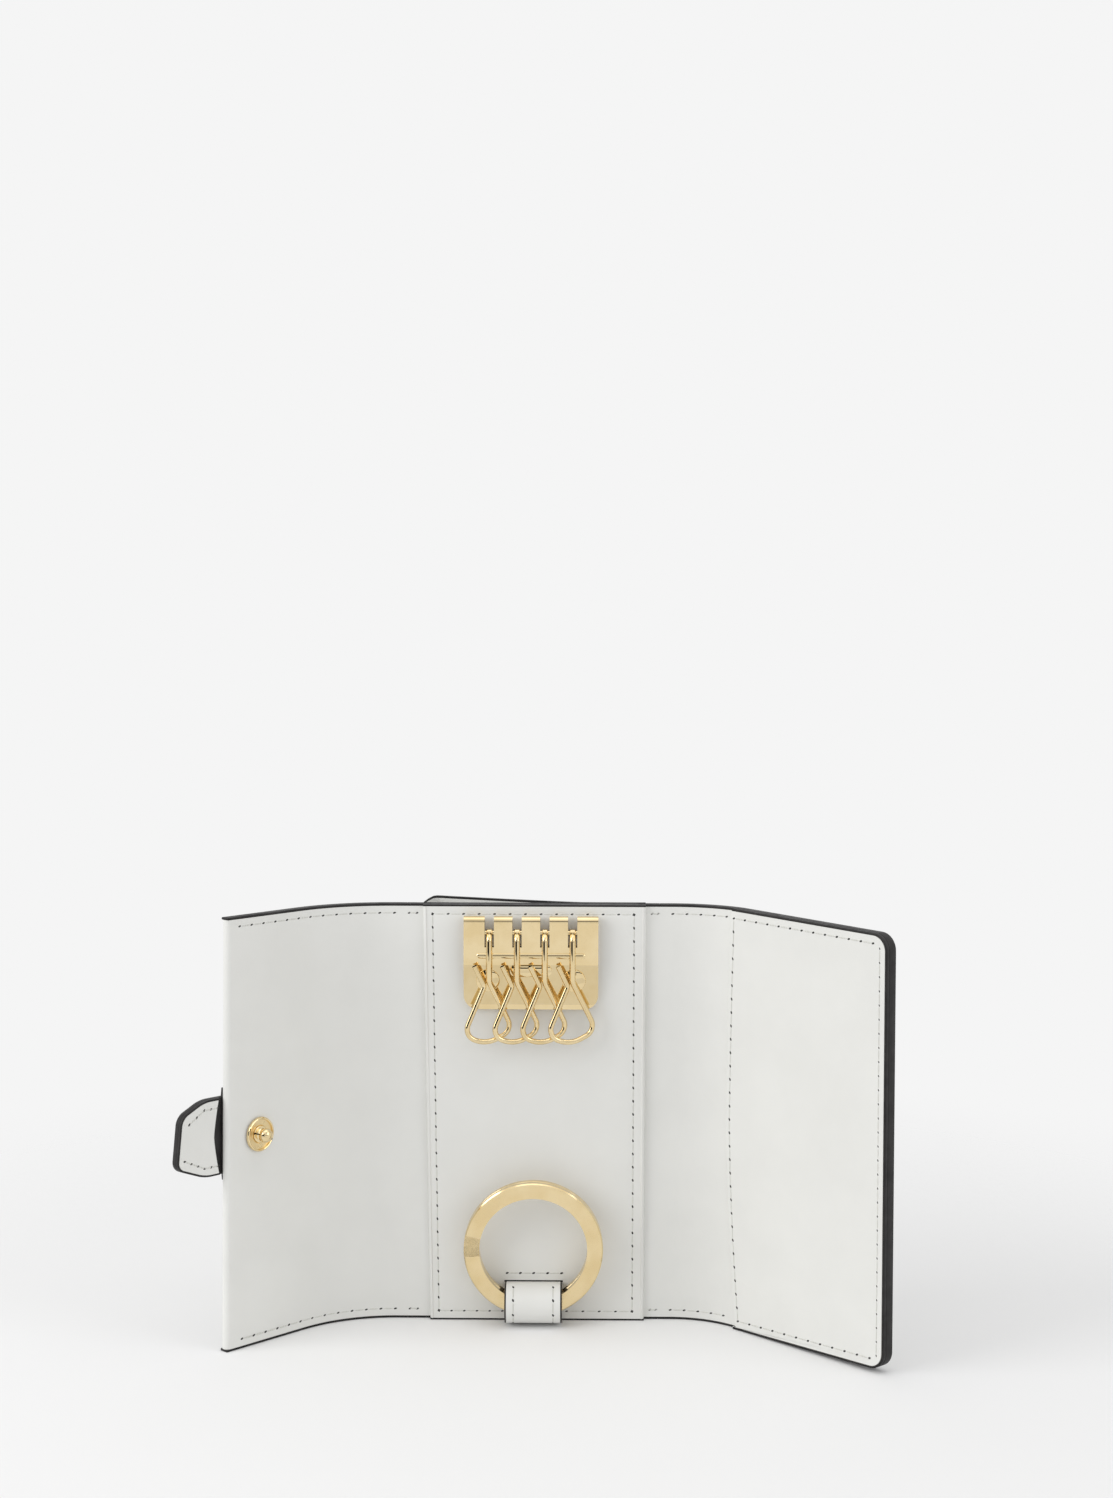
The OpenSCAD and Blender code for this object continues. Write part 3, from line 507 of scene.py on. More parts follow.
left = readPanel("left")
right = readPanel("right")
coverLow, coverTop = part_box("left_spine_edge")[0].z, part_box("left_spine_edge")[1].z
rightTaper = 1.0 * mm
cornerRound = 4 * mm


def flapOutline(plan, start):
    # the whole flap from start to its free edge, cut flat
    taper, beyond = (rightTaper, 0) if plan is right else (0, panel["over"])
    foot, head = (free + beyond for free in plan["free"])
    corners = [(start - panel["over"], coverLow), (plan["flapStart"], coverLow), (foot, coverLow + taper),
               (head, coverTop - taper), (plan["flapStart"], coverTop), (start - panel["over"], coverTop)]
    bm = cutSheet(corners)
    if plan is right:
        roundCorners(bm, [corners[2], corners[3]], cornerRound)
    return bm


def cutFree(bm, plan, inset, clearBefore=False):
    # a cut beside the free edge
    foot, head = plan["free"]
    way = (coverTop - coverLow, 0, foot - head)
    cutPlane(bm, (foot - inset, 0, coverLow), way, clearBefore, not clearBefore)


def finishLayer(name, plan, bm, depthA, depthB, material, rim, soft, press):
    # a cut sheet gets its thickness, its grooves and its soft edges, and is laid on its panel
    proud = panel["rimProud"] if rim else 0
    thicken(bm, depthA - proud, depthB + proud)
    if press:
        press(bm)
    if soft:
        softenEdges(bm, *soft)
    layOnPanel(bm, plan)
    return makePiece(name, bm, material)


def flapLayer(name, plan, start, depthA, depthB, material, rim=False, mouth=None, soft=None, inset=0, band=0,
              press=None):
    bm = flapOutline(plan, start)
    keepRim(bm, panel["rim"], rim)
    cutAt(bm, start, clearBefore=True)
    if plan is left:
        cutFree(bm, plan, inset)
    if band:
        cutFree(bm, plan, band, clearBefore=True)
    if mouth:
        for i in range(1, panel["bendCuts"]):
            cutUp(bm, coverLow + (coverTop - coverLow) * i / panel["bendCuts"])
        for v in bm.verts:
            if v.co.x < start + touch:
                v.co.x += mouth(v.co.z)
    soft = (lambda e: True, panel["rimSoft"]) if rim else soft
    return finishLayer(name, plan, bm, depthA, depthB, material, rim, soft, press)


lowRow, topRow = coverLow + stitching["inside"], coverTop - stitching["inside"]


def pressRows(face, far, end=math.inf):
    # the face at one depth sinks towards the far face along its two long rows of stitches
    def press(bm):
        half = stitching["grooveHalf"]
        for row in (lowRow, topRow):
            for offset in (-half, 0, half):
                cutUp(bm, row + offset)
            for v in bm.verts:
                if abs(v.co.y - face) < touch / 10 and abs(v.co.z - row) < touch and v.co.x < end:
                    v.co.y += math.copysign(stitching["groove"], far - face)
    return press


def spineLayer(name, plan, start, depthA, depthB, material, rim=False, press=None):
    before, after = start - panel["over"], plan["mid"] + panel["over"]
    bm = cutSheet([(before, coverLow), (after, coverLow), (after, coverTop), (before, coverTop)])
    keepRim(bm, panel["rim"], rim)
    cutAt(bm, start, clearBefore=True)
    cutAt(bm, plan["mid"], clearAfter=True)
    for i in range(1, crease["cuts"]):
        along = -crease["before"] + (crease["before"] + crease["after"]) * i / crease["cuts"]
        if along > start:
            cutAt(bm, along)
    soft = (lambda e: run(e, 0) > touch, panel["rimSoft"]) if rim else None
    return finishLayer(name, plan, bm, depthA, depthB, material, rim, soft, press)


print("flaps")
turned = {
    "width": 1.6 * mm,
    "soft": 1.18 * mm,
    "steps": 6,
    "near": 0.1 * mm,  # its soft edges are within this of the free edge,
    "long": 1 * mm,  # and longer than this
}
smoothFrom = 1 * mm  # the right cover's grooves end this far before its flat part


for plan in (left, right):
    side, mid, thick = plan["side"], plan["mid"], plan["thick"]
    split = thick * panel["liningShare"]
    lining = spineLayer(side + "SpineLining", plan, -crease["under"], 0, split, calf,
                        press=pressRows(0, split))
    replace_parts(bendWithCrease(lining, plan), side + "_spine_lining")
    shell = spineLayer(side + "SpineCover", plan, -crease["before"], split, thick, coverCalf,
                       press=pressRows(thick, split))
    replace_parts(bendWithCrease(shell, plan), side + "_spine_shell", side + "_crease")
    rims = spineLayer(side + "SpineEdges", plan, -crease["under"], 0, thick, edgeDressingAndShadow, rim=True)
    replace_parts(bendWithCrease(rims, plan), side + "_spine_edge")
    fold, sewnEnd = (turned["width"], math.inf) if plan is left else (0, plan["flapStart"] - smoothFrom)
    lining = flapLayer(side + "FlapLining", plan, mid, 0, split, calf, inset=fold, press=pressRows(0, split))
    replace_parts(bendWithFlap(lining, plan), side + "_bend_lining", side + "_flap_lining",
                side + "_flap_board")
    shell = flapLayer(side + "FlapCover", plan, mid, split, thick, coverCalf, inset=fold,
                      press=pressRows(thick, split, sewnEnd))
    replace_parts(bendWithFlap(shell, plan), side + "_bend_shell", side + "_flap_shell")
    rims = flapLayer(side + "FlapEdges", plan, mid, 0, thick, edgeDressingAndShadow, rim=True)
    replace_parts(bendWithFlap(rims, plan), side + "_bend_edge", side + "_flap_edge")

turnedFrom = min(left["free"]) - turned["near"]
turnedSide = lambda e: all(v.co.x > turnedFrom for v in e.verts) and run(e, 2) > turned["long"]
turnedEdge = flapLayer("leftTurnedEdge", left, left["mid"], 0, left["thick"], calf, band=turned["width"],
                       soft=(turnedSide, turned["soft"], turned["steps"]))
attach(turnedEdge, "left_flap")

print("card pocket")
cardPocket = {
    "thick": 1.0 * mm,
    "start": -2.5 * mm,  # the mouth's middle, from where the flap is flat
    "foot": 3.7 * mm,  # how far the mouth draws back at its foot and head
    "head": 1.0 * mm,
    "curve": 1.6,
    "mouthRow": 0.95 * mm,
    "freeRow": 2.1 * mm,
    "rowEnd": 2 * mm,  # the rows meet this far from the corners
    "soft": 0.35 * mm,
    "past": 0.2 * mm,  # nothing of the mouth lies further than this past its foot
}


def mouthLine(up):
    share = (up - coverLow) / (coverTop - coverLow)
    foot = cardPocket["foot"] * max(0, 1 - 2 * share) ** cardPocket["curve"]
    head = cardPocket["head"] * max(0, 2 * share - 1) ** cardPocket["curve"]
    return foot + head


pocketStart = right["flapStart"] + cardPocket["start"]
mouthEnd = pocketStart + cardPocket["foot"] + cardPocket["past"]
mouthEdge = lambda e: all(v.co.x < mouthEnd and v.co.y < -cardPocket["thick"] / 2 for v in e.verts)
pocketLeather = flapLayer("cardPocketLeather", right, pocketStart, -cardPocket["thick"], 0, calf,
                          mouth=mouthLine, soft=(mouthEdge, cardPocket["soft"]))
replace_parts(bendWithFlap(pocketLeather, right), "card_pocket")
pocketRims = flapLayer("cardPocketEdges", right, pocketStart, -cardPocket["thick"], 0, edgeDressingAndShadow, rim=True,
                       mouth=mouthLine)
bendWithFlap(pocketRims, right)

print("flap stitching")
flapRows = {
    "crease": 1.3 * mm,  # where the rows stop short of the pad,
    "bend": 0.5 * mm,  # of the middle of the spine,
    "turned": 3.6 * mm,  # of the left flap's free edge
    "pocket": 1.2 * mm,  # and of the card pocket
}


def panelSurface(plan, depth, facing):
    return lambda along, up, lift: onPanel(plan, along, depth + facing * lift, up)


def sewPanelRows(name, plan, depth, facing, start, end):
    face = panelSurface(plan, depth - facing * stitching["groove"], facing)
    for up in (lowRow, topRow):
        sewLine(name, face, (start, up), (end, up), stitching["pitch"])


for plan in (left, right):
    side, spineEnd = plan["side"], plan["mid"] - flapRows["bend"]
    for label, depth, facing in (("Inner", 0, -1), ("Outer", plan["thick"], 1)):
        sewPanelRows(side + "Spine" + label, plan, depth, facing, flapRows["crease"], spineEnd)
        finishSewing(side + "Spine" + label, lambda piece: bendWithCrease(piece, plan))
        end = (pocketStart if facing < 0 else right["flapStart"]) - flapRows["pocket"]
        if plan is left:
            end = plan["free"][1] - flapRows["turned"]
        sewPanelRows(side + "Flap" + label, plan, depth, facing, spineEnd + stitching["pitch"], end)
        finishSewing(side + "Flap" + label, lambda piece: bendWithFlap(piece, plan))

pocketFace = panelSurface(right, -cardPocket["thick"], -1)
outerFace = panelSurface(right, right["thick"], 1)
rowEnd = cardPocket["rowEnd"]
freeFoot, freeHead = (free - cardPocket["freeRow"] for free in right["free"])
flatStart, columnPitch = right["flapStart"], stitching["columnPitch"]
for up, slope, end in ((lowRow, 1, freeFoot), (topRow, -1, freeHead)):
    mouth = pocketStart + mouthLine(up) + cardPocket["mouthRow"]
    for name, face, begin in (("cardPocket", pocketFace, mouth), ("rightFlapEdge", outerFace, flatStart)):
        rise = slope * rightTaper * (end - begin) / (right["reach"] - flatStart)
        sewLine(name, face, (begin, up), (end - rowEnd, up + rise), stitching["pitch"])


def mouthColumn(share):
    up = lowRow + (topRow - lowRow) * share
    return pocketStart + mouthLine(up) + cardPocket["mouthRow"], up


freeLine = (freeFoot, lowRow + rowEnd), (freeHead, topRow - rowEnd)
sewLine("cardPocket", pocketFace, *freeLine, columnPitch, hole="faint")
sew("cardPocket", pocketFace, mouthColumn, topRow - lowRow, columnPitch, first=False, last=False)
finishSewing("cardPocket", lambda piece: bendWithFlap(piece, right))
sewLine("rightFlapEdge", outerFace, *freeLine, columnPitch)
finishSewing("rightFlapEdge", lambda piece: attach(piece, "right_flap"))

print("centre")
padLow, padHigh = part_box("centre_lining")
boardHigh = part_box("centre_board")[1]
shellLow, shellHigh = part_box("centre_shell")
edgeLow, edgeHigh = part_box("centre_edge")
centre = {
    "sideRound": 0.9 * mm,
    "sideSteps": 6,
    "rim": 0.45 * mm,
    "rimSoft": 0.192 * mm,
    "top": 0.05 * mm,  # the pad stops this far below the edge behind it
    "sink": 0.28 * mm,  # how far the padding falls towards its sewn edges
    "fall": 7 * mm,  # it falls over this width
    "sewnShare": 0.74,  # of that fall, at the stitches
    "cuts": [0.6, 1.2, 1.75, 2.35, 2.95, 3.6, 4.6, 5.8, 7.0],  # close together near an edge, in mm
    "wideCuts": 8,
    "strapRow": 12.1 * mm,  # height of the short row over the strap
    "strapRowHalf": 7 * mm,
    "strapPitch": 3.5 * mm,
    "besideStrap": 1.2 * mm,
    "notch": 1 * mm,  # the black edge is this deep behind the strap
    "lean": 0.062,  # how far the left side draws in at its foot
    "rightRow": 0.6 * mm,  # the right row of stitches stands this much further in than the others
}


def leanLeft(bm):
    for v in bm.verts:
        if v.co.x < 0:
            v.co.x *= 1 - centre["lean"] * (1 - v.co.z / coverTop)


def boxShape(bm, low, high):
    made = bmesh.ops.create_cube(bm, size=1)["verts"]
    bmesh.ops.scale(bm, verts=made, vec=high - low)
    bmesh.ops.translate(bm, verts=made, vec=(high + low) / 2)
    return made


def edgeGrid(low, high):
    # cuts close together near both edges, and wide apart between them
    steps = [step * mm for step in centre["cuts"]]
    inner = (high - low - 2 * steps[-1]) / centre["wideCuts"]
    places = [low + steps[-1] + inner * i for i in range(1, centre["wideCuts"])]
    return sorted(places + [low + step for step in steps] + [high - step for step in steps])


def paddedSlab(bm, low, high):
    # a slab whose front face falls softly to its edges, with a groove for the stitches
    boxShape(bm, low, high)
    sides = [e for e in bm.edges if all(v.co.y < (low.y + high.y) / 2 for v in e.verts) and run(e, 2) > touch]
    roundEdges(bm, sides, centre["sideRound"], centre["sideSteps"])
    for along in edgeGrid(low.x, high.x):
        cutAt(bm, along)
    for up in edgeGrid(low.z, high.z):
        cutUp(bm, up)
    for v in bm.verts:
        if v.co.y < low.y + touch:
            inside = min(v.co.x - low.x, high.x - centre["rightRow"] - v.co.x, v.co.z - low.z + centre["rim"],
                         high.z + centre["rim"] - v.co.z)
            share = min(1, max(0, 1 - inside / centre["fall"]))
            v.co.y += centre["sink"] * share * share * (3 - 2 * share)
            if abs(inside - stitching["inside"]) < stitching["grooveHalf"] / 2:
                v.co.y += stitching["groove"]


padTop = edgeHigh.z - centre["top"]
rim = centre["rim"]
bm = bmesh.new()
paddedSlab(bm, Vector((padLow.x, padLow.y, edgeLow.z + rim)), Vector((padHigh.x, boardHigh.y, padTop - rim)))
leanLeft(bm)
pad = placePiece("centrePad", bm, calf)
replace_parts(pad, "centre_lining", "centre_board")

bm = bmesh.new()
boxShape(bm, Vector((shellLow.x, boardHigh.y, edgeLow.z + rim)), Vector((*shellHigh.xy, edgeHigh.z - rim)))
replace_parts(placePiece("centreCover", bm, coverCalf), "centre_shell")


def rimBar(bm, low, high):
    made = boxShape(bm, low, high)
    roundEdges(bm, [e for e in bm.edges if e.verts[0] in made and run(e, 0) > touch], centre["rimSoft"])


strapLow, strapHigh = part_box("strap_edge")
front, notch, back = (padLow.y + centre["sink"] - panel["rimProud"], padLow.y + centre["notch"],
                      shellHigh.y + panel["rimProud"])
bm = bmesh.new()
for x0, x1, y0, y1, top in ((padLow.x, padHigh.x, front, boardHigh.y, padTop),
                            (padLow.x, padHigh.x, boardHigh.y, back, edgeHigh.z),
                            (padLow.x, padHigh.x, notch, back, edgeLow.z + rim),
                            (padLow.x, strapLow.x, front, notch, edgeLow.z + rim),
                            (strapHigh.x, padHigh.x, front, notch, edgeLow.z + rim)):
    rimBar(bm, Vector((x0, y0, top - rim)), Vector((x1, y1, top)))
leanLeft(bm)
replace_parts(placePiece("centreEdges", bm, edgeDressingAndShadow), "centre_edge")

print("centre stitching")
inside = stitching["inside"]
padX = (padLow.x + inside, padHigh.x - centre["rightRow"] - inside)
padZ = (edgeLow.z + inside, padTop - inside)
sunk = centre["sink"] * centre["sewnShare"] + stitching["groove"]
padFace = lambda along, up, lift: Vector((along, padLow.y + sunk - lift, up))
flatFace = lambda along, up, lift: Vector((along, padLow.y - lift, up))
for along in padX:
    sewLine("centre", padFace, (along, padZ[0]), (along, padZ[1]), columnPitch)
sewLine("centre", padFace, (padX[0], padZ[1]), (padX[1], padZ[1]), stitching["pitch"])
beside = centre["besideStrap"]
for start, end in ((padX[0], strapLow.x - beside), (padX[1], strapHigh.x + beside)):
    sewLine("centre", padFace, (start, padZ[0]), (end, padZ[0]), stitching["pitch"])
half, up = centre["strapRowHalf"], centre["strapRow"]
sewLine("centre", flatFace, (-half, up), (half, up), centre["strapPitch"])
for bm in sewn["centre"]:
    leanLeft(bm)
finishSewing("centre", lambda piece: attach(piece, "centre_panel"))

print("back pocket")
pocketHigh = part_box("back_pocket")[1]
backPocket = {
    "thick": 1.1 * mm,
    "crest": 0.05,  # where along its width it stands out most, from the left
    "flat": 0.72,  # from here on it lies flat
    "slack": 1.15,  # how hollow the slope between them is
    "fade": 1.3,  # how soon the bulge dies away below the mouth
    "lift": 0.7 * mm,
    "rim": 0.5 * mm,
    "columns": 56,
    "rows": 20,
}
backPocket["bulge"] = pocketHigh.y - backPocket["thick"] - shellHigh.y


def pocketBow(share):
    crest, flat = backPocket["crest"], backPocket["flat"]
    if share < crest:
        return math.sin(math.pi / 2 * share / crest)
    if share > flat:
        return 0
    return (1 - (share - crest) / (flat - crest)) ** backPocket["slack"]


def pocketSheet(name, low, high, rows, material):
    bm = bmesh.new()
    bmesh.ops.create_grid(bm, x_segments=backPocket["columns"], y_segments=rows, size=0.5)
    for v in bm.verts:
        share, up = v.co.x + 0.5, low + (high - low) * (v.co.y + 0.5)
        rise = ((up - coverLow) / (coverTop - coverLow)) ** backPocket["fade"]
        v.co = Vector((shellLow.x + (shellHigh.x - shellLow.x) * share,
                       shellHigh.y + backPocket["bulge"] * pocketBow(share) * rise,
                       up + backPocket["lift"] * pocketBow(share) * rise))
    growFaces(bm, (0, backPocket["thick"], 0))
    return placePiece(name, bm, material)


rimFoot, rimHead = coverLow + backPocket["rim"], coverTop - backPocket["rim"]
pocketCalf = pocketSheet("backPocketLeather", rimFoot, rimHead, backPocket["rows"], coverCalf)
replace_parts(pocketCalf, "back_pocket")
pocketRim = pocketSheet("backPocketEdge", rimHead, coverTop, 1, edgeDressingAndShadow)
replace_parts(pocketRim, "back_pocket_edge")
pocketSheet("backPocketFoot", coverLow, rimFoot, 1, edgeDressingAndShadow)

print("ring strap")
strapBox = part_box("ring_strap")
pivot = Vector(joints["ring_swing"]["pos_m"])
strap = {
    "thick": 1.1 * mm,
    "outer": pivot.y - strapBox[0].y,
    "half": (strapHigh.x - strapLow.x) / 2,
    "side": 0.4 * mm,  # black dressing on its sides
    "steps": 28,
    "soft": 0.16 * mm,
    "row": 2.15 * mm,
    "rowTurns": [math.radians(112), math.radians(245)],  # where its rows of stitches begin and end
    "nearPad": 0.05 * mm,
}
slit = {"above": 0.35 * mm, "below": 0.1 * mm, "beside": 0.2 * mm, "proud": 0.03 * mm, "deep": 0.3 * mm}
slitTop = max(v.co.z for v in nodes["ring_strap"].data.vertices if v.co.y > padLow.y - strap["nearPad"])
slitWay = Vector((padLow.y - pivot.y, slitTop - pivot.z))
strap["turn"] = math.atan2(slitWay.y, slitWay.x) + math.acos(min(1, strap["outer"] / slitWay.length))


def strapSection(bm, x0, x1):
    # the section is spun round the ring's foot, drawn back to the slit and along the floor, then widened
    outer = strap["outer"]
    ends = [bm.verts.new((x0, pivot.y, pivot.z - r)) for r in (outer - strap["thick"], outer)]
    foot = bm.edges.new(ends)
    spun = bmesh.ops.spin(bm, geom=[*ends, foot], cent=pivot, axis=(1, 0, 0), dvec=(0, 0, 0),
                          angle=-(math.pi * 1.5 - strap["turn"]), steps=strap["steps"], use_merge=False)
    head = [g for g in spun["geom_last"] if isinstance(g, bmesh.types.BMEdge)]
    back = padLow.y + strap["thick"] - pivot.y
    for edge, way in ((head[0], (0, math.sin(strap["turn"]), -math.cos(strap["turn"]))), (foot, (0, 1, 0))):
        moveNew(bm, bmesh.ops.extrude_edge_only(bm, edges=[edge]), Vector(way) * back)
    growFaces(bm, (x1 - x0, 0, 0))
    bmesh.ops.recalc_face_normals(bm, faces=bm.faces[:])


def strapPiece(name, x0, x1, material, soft=0):
    bm = bmesh.new()
    strapSection(bm, x0, x1)
    if soft:
        softenEdges(bm, lambda e: run(e, 0) < touch, soft)
    return placePiece(name, bm, material)


half, side = strap["half"], strap["side"]
strapLeather = strapPiece("strapLeather", side - half, half - side, calf)
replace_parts(strapLeather, "ring_strap")
for name, x0, x1 in (("strapLeftEdge", -half, side - half), ("strapRightEdge", half - side, half)):
    painted = strapPiece(name, x0, x1, edgeDressingAndShadow, strap["soft"])
    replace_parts(painted, "strap_edge")
# a black bar across the slit that the strap comes out of, standing a little proud of the pad
bm = bmesh.new()
boxShape(bm, Vector((-half - slit["beside"], padLow.y - slit["proud"], slitTop - slit["below"])),
         Vector((half + slit["beside"], padLow.y + slit["deep"], slitTop + slit["above"])))
placePiece("strapSlit", bm, edgeDressingAndShadow)


def strapFace(along, turn, lift):
    reach = strap["outer"] + lift
    return Vector((along, pivot.y + reach * math.cos(turn), pivot.z + reach * math.sin(turn)))


begin, end = strap["rowTurns"]
for along in (strap["row"] - half, half - strap["row"]):
    line = straight((along, begin), (along, end))
    sew("strap", strapFace, line, strap["outer"] * (end - begin), stitching["pitch"])
finishSewing("strap", lambda piece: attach(piece, "centre_panel"))

print("tab")
tab = {
    "thick": 1.2 * mm,
    "lining": 0.8 * mm,
    "half": 9.3 * mm,
    "length": 13.6 * mm,
    "headLength": 12.2 * mm,
    "shoulder": 5.5 * mm,
    "tipHalf": 6.2 * mm,
    "tipRound": 1.9 * mm,
    "baseHalf": 11.2 * mm,
    "baseLength": 20.4 * mm,
    "baseRound": 4.5 * mm,
    "hidden": 1.2 * mm,  # the wide base stops this far inside the flap's edge
    "step": 0.2 * mm,  # and narrows to the tongue over this length
    "shoulderRound": 1.8 * mm,
    "bend": (-0.6 * mm, 1.8 * mm),  # where it bends, from its root and from the cut part's free edge
    "cuts": (-4, 8, 0.55 * mm),  # first, last and step, from its root
    "bow": 1.7 * mm,  # how far the lining's end draws back in its middle
    "bowFade": 4 * mm,
    "bowCurve": 1.3,
    "bowCuts": (-7, 7, 1.2 * mm),  # the same, from its middle
    "skived": 0.22 * mm,  # the lining's end is pared to this,
    "endTurn": -0.8,  # which is the faces that look away from the tip by more than this
    "rim": 0.5 * mm,
    "rimSoft": 0.2 * mm,
    "liningStart": 0.7 * mm,
    "darkUnder": 0.15 * mm,  # the black root, painted shadow of the gap with the base's black edge, shows this deep between flap and lining
    "darkOver": 0.4 * mm,
    "row": 2.3 * mm,
    "tipRow": 1.9 * mm,
    "innerStart": 1.5 * mm,  # where the rows begin, on the lining and on the outside
    "outerStart": 2 * mm,
    "pitch": 2.2 * mm,
    "height": 52.4 * mm,
}
tab["root"] = sum(left["free"]) / 2
tab["back"] = tab["root"] - tab["baseLength"]
tabDepth = left["thick"]


def tabOutline():
    # base and tongue in one outline, cut flat
    z, root, back, wide = tab["height"], tab["root"], tab["back"], tab["baseHalf"]
    shoulder, base = root + tab["shoulder"], root - tab["hidden"]
    neck = base + tab["step"]
    corners = [(back, wide), (base, wide), (neck, tab["half"]), (shoulder, tab["half"]),
               (root + tab["headLength"], tab["tipHalf"]), (root + tab["length"], -tab["tipHalf"]),
               (shoulder, -tab["half"]), (neck, -tab["half"]), (base, -wide), (back, -wide)]
    corners = [(x, z + up) for x, up in corners]
    bm = cutSheet(corners)
    roundCorners(bm, corners[4:6], tab["tipRound"], 6)
    roundCorners(bm, (corners[0], corners[-1]), tab["baseRound"], 10)
    roundCorners(bm, (corners[3], corners[6]), tab["shoulderRound"], 4)
    return bm


def cutSteps(cuts):
    first, last, step = cuts
    return [i * step for i in range(first, last + 1)]


def bowLining(bm, start):
    # the lining's end curves away from the root
    for step in cutSteps(tab["bowCuts"]):
        cutUp(bm, tab["height"] + step)
    for v in bm.verts:
        middle = max(0, 1 - abs((v.co.z - tab["height"]) / tab["half"]) ** tab["bowCurve"])
        v.co.x += tab["bow"] * middle * max(0, 1 - (v.co.x - start) / tab["bowFade"])


def pareEnd(bm):
    for v in {v for f in bm.faces if f.normal.x < tab["endTurn"] for v in f.verts}:
        v.co.y = max(v.co.y, tabDepth - tab["skived"])


def tabLayer(name, depthA, depthB, material, rim=False, start=None, end=None, bowed=False):
    bm = tabOutline()
    if not end:
        keepRim(bm, tab["rim"], rim)
    if start:
        cutAt(bm, start, clearBefore=True)
    if end:
        cutAt(bm, end, clearAfter=True)
    for step in cutSteps(tab["cuts"]):
        cutAt(bm, tab["root"] + step)
    if bowed:
        bowLining(bm, start)
    soft = (lambda e: True, tab["rimSoft"], 2) if rim else None
    piece = finishLayer(name, left, bm, depthA, depthB, material, rim, soft, pareEnd if bowed else None)
    begin, stop = tab["root"] + tab["bend"][0], left["reach"] + tab["bend"][1]
    panelPoint(left, begin, tabDepth)
    panelPoint(left, stop, tabDepth)
    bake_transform(piece)
    return piece


root = tab["root"]
tabBack, tabFront = tabDepth + tab["thick"], tabDepth - tab["lining"]
liningStart = root + tab["liningStart"]
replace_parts(tabLayer("tabLeather", tabDepth, tabBack, coverCalf), "tab_base", "tab_tongue")
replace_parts(tabLayer("tabEdges", tabDepth, tabBack, edgeDressingAndShadow, rim=True), "tab_base_edge")
lining = tabLayer("tabLining", tabFront, tabDepth, calf, start=liningStart, bowed=True)
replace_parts(lining, "tab_lining")
rims = tabLayer("tabLiningEdges", tabFront, tabDepth, edgeDressingAndShadow, rim=True, start=liningStart)
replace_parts(rims, "tab_edge")
# a black sheet on the tab between the flap's edge and the lining: painted shadow of that gap, with the black
# edge of the tab's base
tabLayer("tabRootAndGapShadow", tabDepth - tab["darkUnder"], tabDepth, edgeDressingAndShadow,
         start=root - tab["hidden"] / 2, end=liningStart + tab["bow"] + tab["darkOver"])

row, tipRow, shoulder = tab["half"] - tab["row"], tab["tipHalf"] - tab["tipRow"], root + tab["shoulder"]
for label, depth, facing, begin in (("tabInner", tabFront, -1, root + tab["innerStart"]),
                                    ("tabOuter", tabBack, 1, root + tab["outerStart"])):
    face = panelSurface(left, depth, facing)
    for sign, length in ((1, tab["headLength"]), (-1, tab["length"])):
        tip = root + length - tab["row"]
        low, high = tab["height"] + sign * row, tab["height"] + sign * tipRow
        sewLine(label, face, (begin, low), (shoulder, low), tab["pitch"], last=False)
        sewLine(label, face, (shoulder, low), (tip, high), tab["pitch"])
    finishSewing(label, lambda piece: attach(piece, "closure_tab"))

print("metal")
fittings = {
    "rail_plate": sheetGilt,
    "split_ring": ringGilt,
    "rail_pin": polishedGilt,
    "rivet_washers": polishedGilt,
    "snap_cap": polishedGilt,
    "snap_socket": polishedGilt,
    "socket_flange": polishedGilt,
}
for name, material in fittings.items():
    nodes[name].data.materials.clear()
    nodes[name].data.materials.append(material)

hook = {
    "count": 4,
    "wire": 0.67 * mm,
    "pin": Vector((-0.8 * mm, -3.0 * mm, 98.25 * mm)),
    "pitch": 6.85 * mm,
    "out": 2.95 * mm,  # from the pin to the stem
    "rootOut": 0.3 * mm,  # the wire begins this far out of the pin
    "drop": 0.35 * mm,
    "twist": 15,
    "corners": [(0, -11.9), (6.14, -24.02), (-0.585, -27.25), (-6.435, -24.97), (-1.17, -12.75),
                (-3.65, -7.7)],  # in mm
    "bends": [1.5, 3.2, 2.9, 6.8, 2.9, 1.5],
    "end": (-8.6 * mm, -2 * mm),  # only the free end is above the first and in front of the second
    "endSoft": 0.25 * mm,
    "flatten": 1.22,  # how much wider the flattened stem is
    "flat": (1.0 * mm, 12.5 * mm),  # it is so between these depths,
    "fades": (1.8 * mm, 2 * mm),  # which it reaches over these lengths
    "stemHalf": 1 * mm,
    "stemFront": -1.5 * mm,
    "barrel": (0.9 * mm, 1.5 * mm),
    "barrelSoft": 0.2 * mm,
}


def roundedPath(points, radii, steps=9):
    path = [points[0]]
    for a, b, c, radius in zip(points, points[1:], points[2:], radii):
        before, after = (a - b).normalized(), (c - b).normalized()
        half = before.angle(after) / 2
        back = radius * mm / math.tan(half)
        middle = b + (before + after).normalized() * (radius * mm / math.sin(half))
        first, last = b + before * back - middle, b + after * back - middle
        turn = first.angle(last)
        for i in range(steps + 1):
            early, late = math.sin(turn * (1 - i / steps)), math.sin(turn * i / steps)
            path.append(middle + (first * early + last * late) / math.sin(turn))
    path.append(points[-1])
    return path


def sweepWire(name, path, radius):
    curve = bpy.data.curves.new(name, "CURVE")
    curve.dimensions = "3D"
    curve.bevel_depth = radius
    curve.bevel_resolution = 4
    curve.use_fill_caps = True
    spline = curve.splines.new("POLY")
    spline.points.add(len(path) - 1)
    for point, place in zip(spline.points, path):
        point.co = (*place, 1)
    holder = bpy.data.objects.new(name, curve)
    bm = bmesh.new()
    bm.from_mesh(bpy.data.meshes.new_from_object(holder))
    bpy.data.objects.remove(holder)
    bpy.data.curves.remove(curve)
    return bm


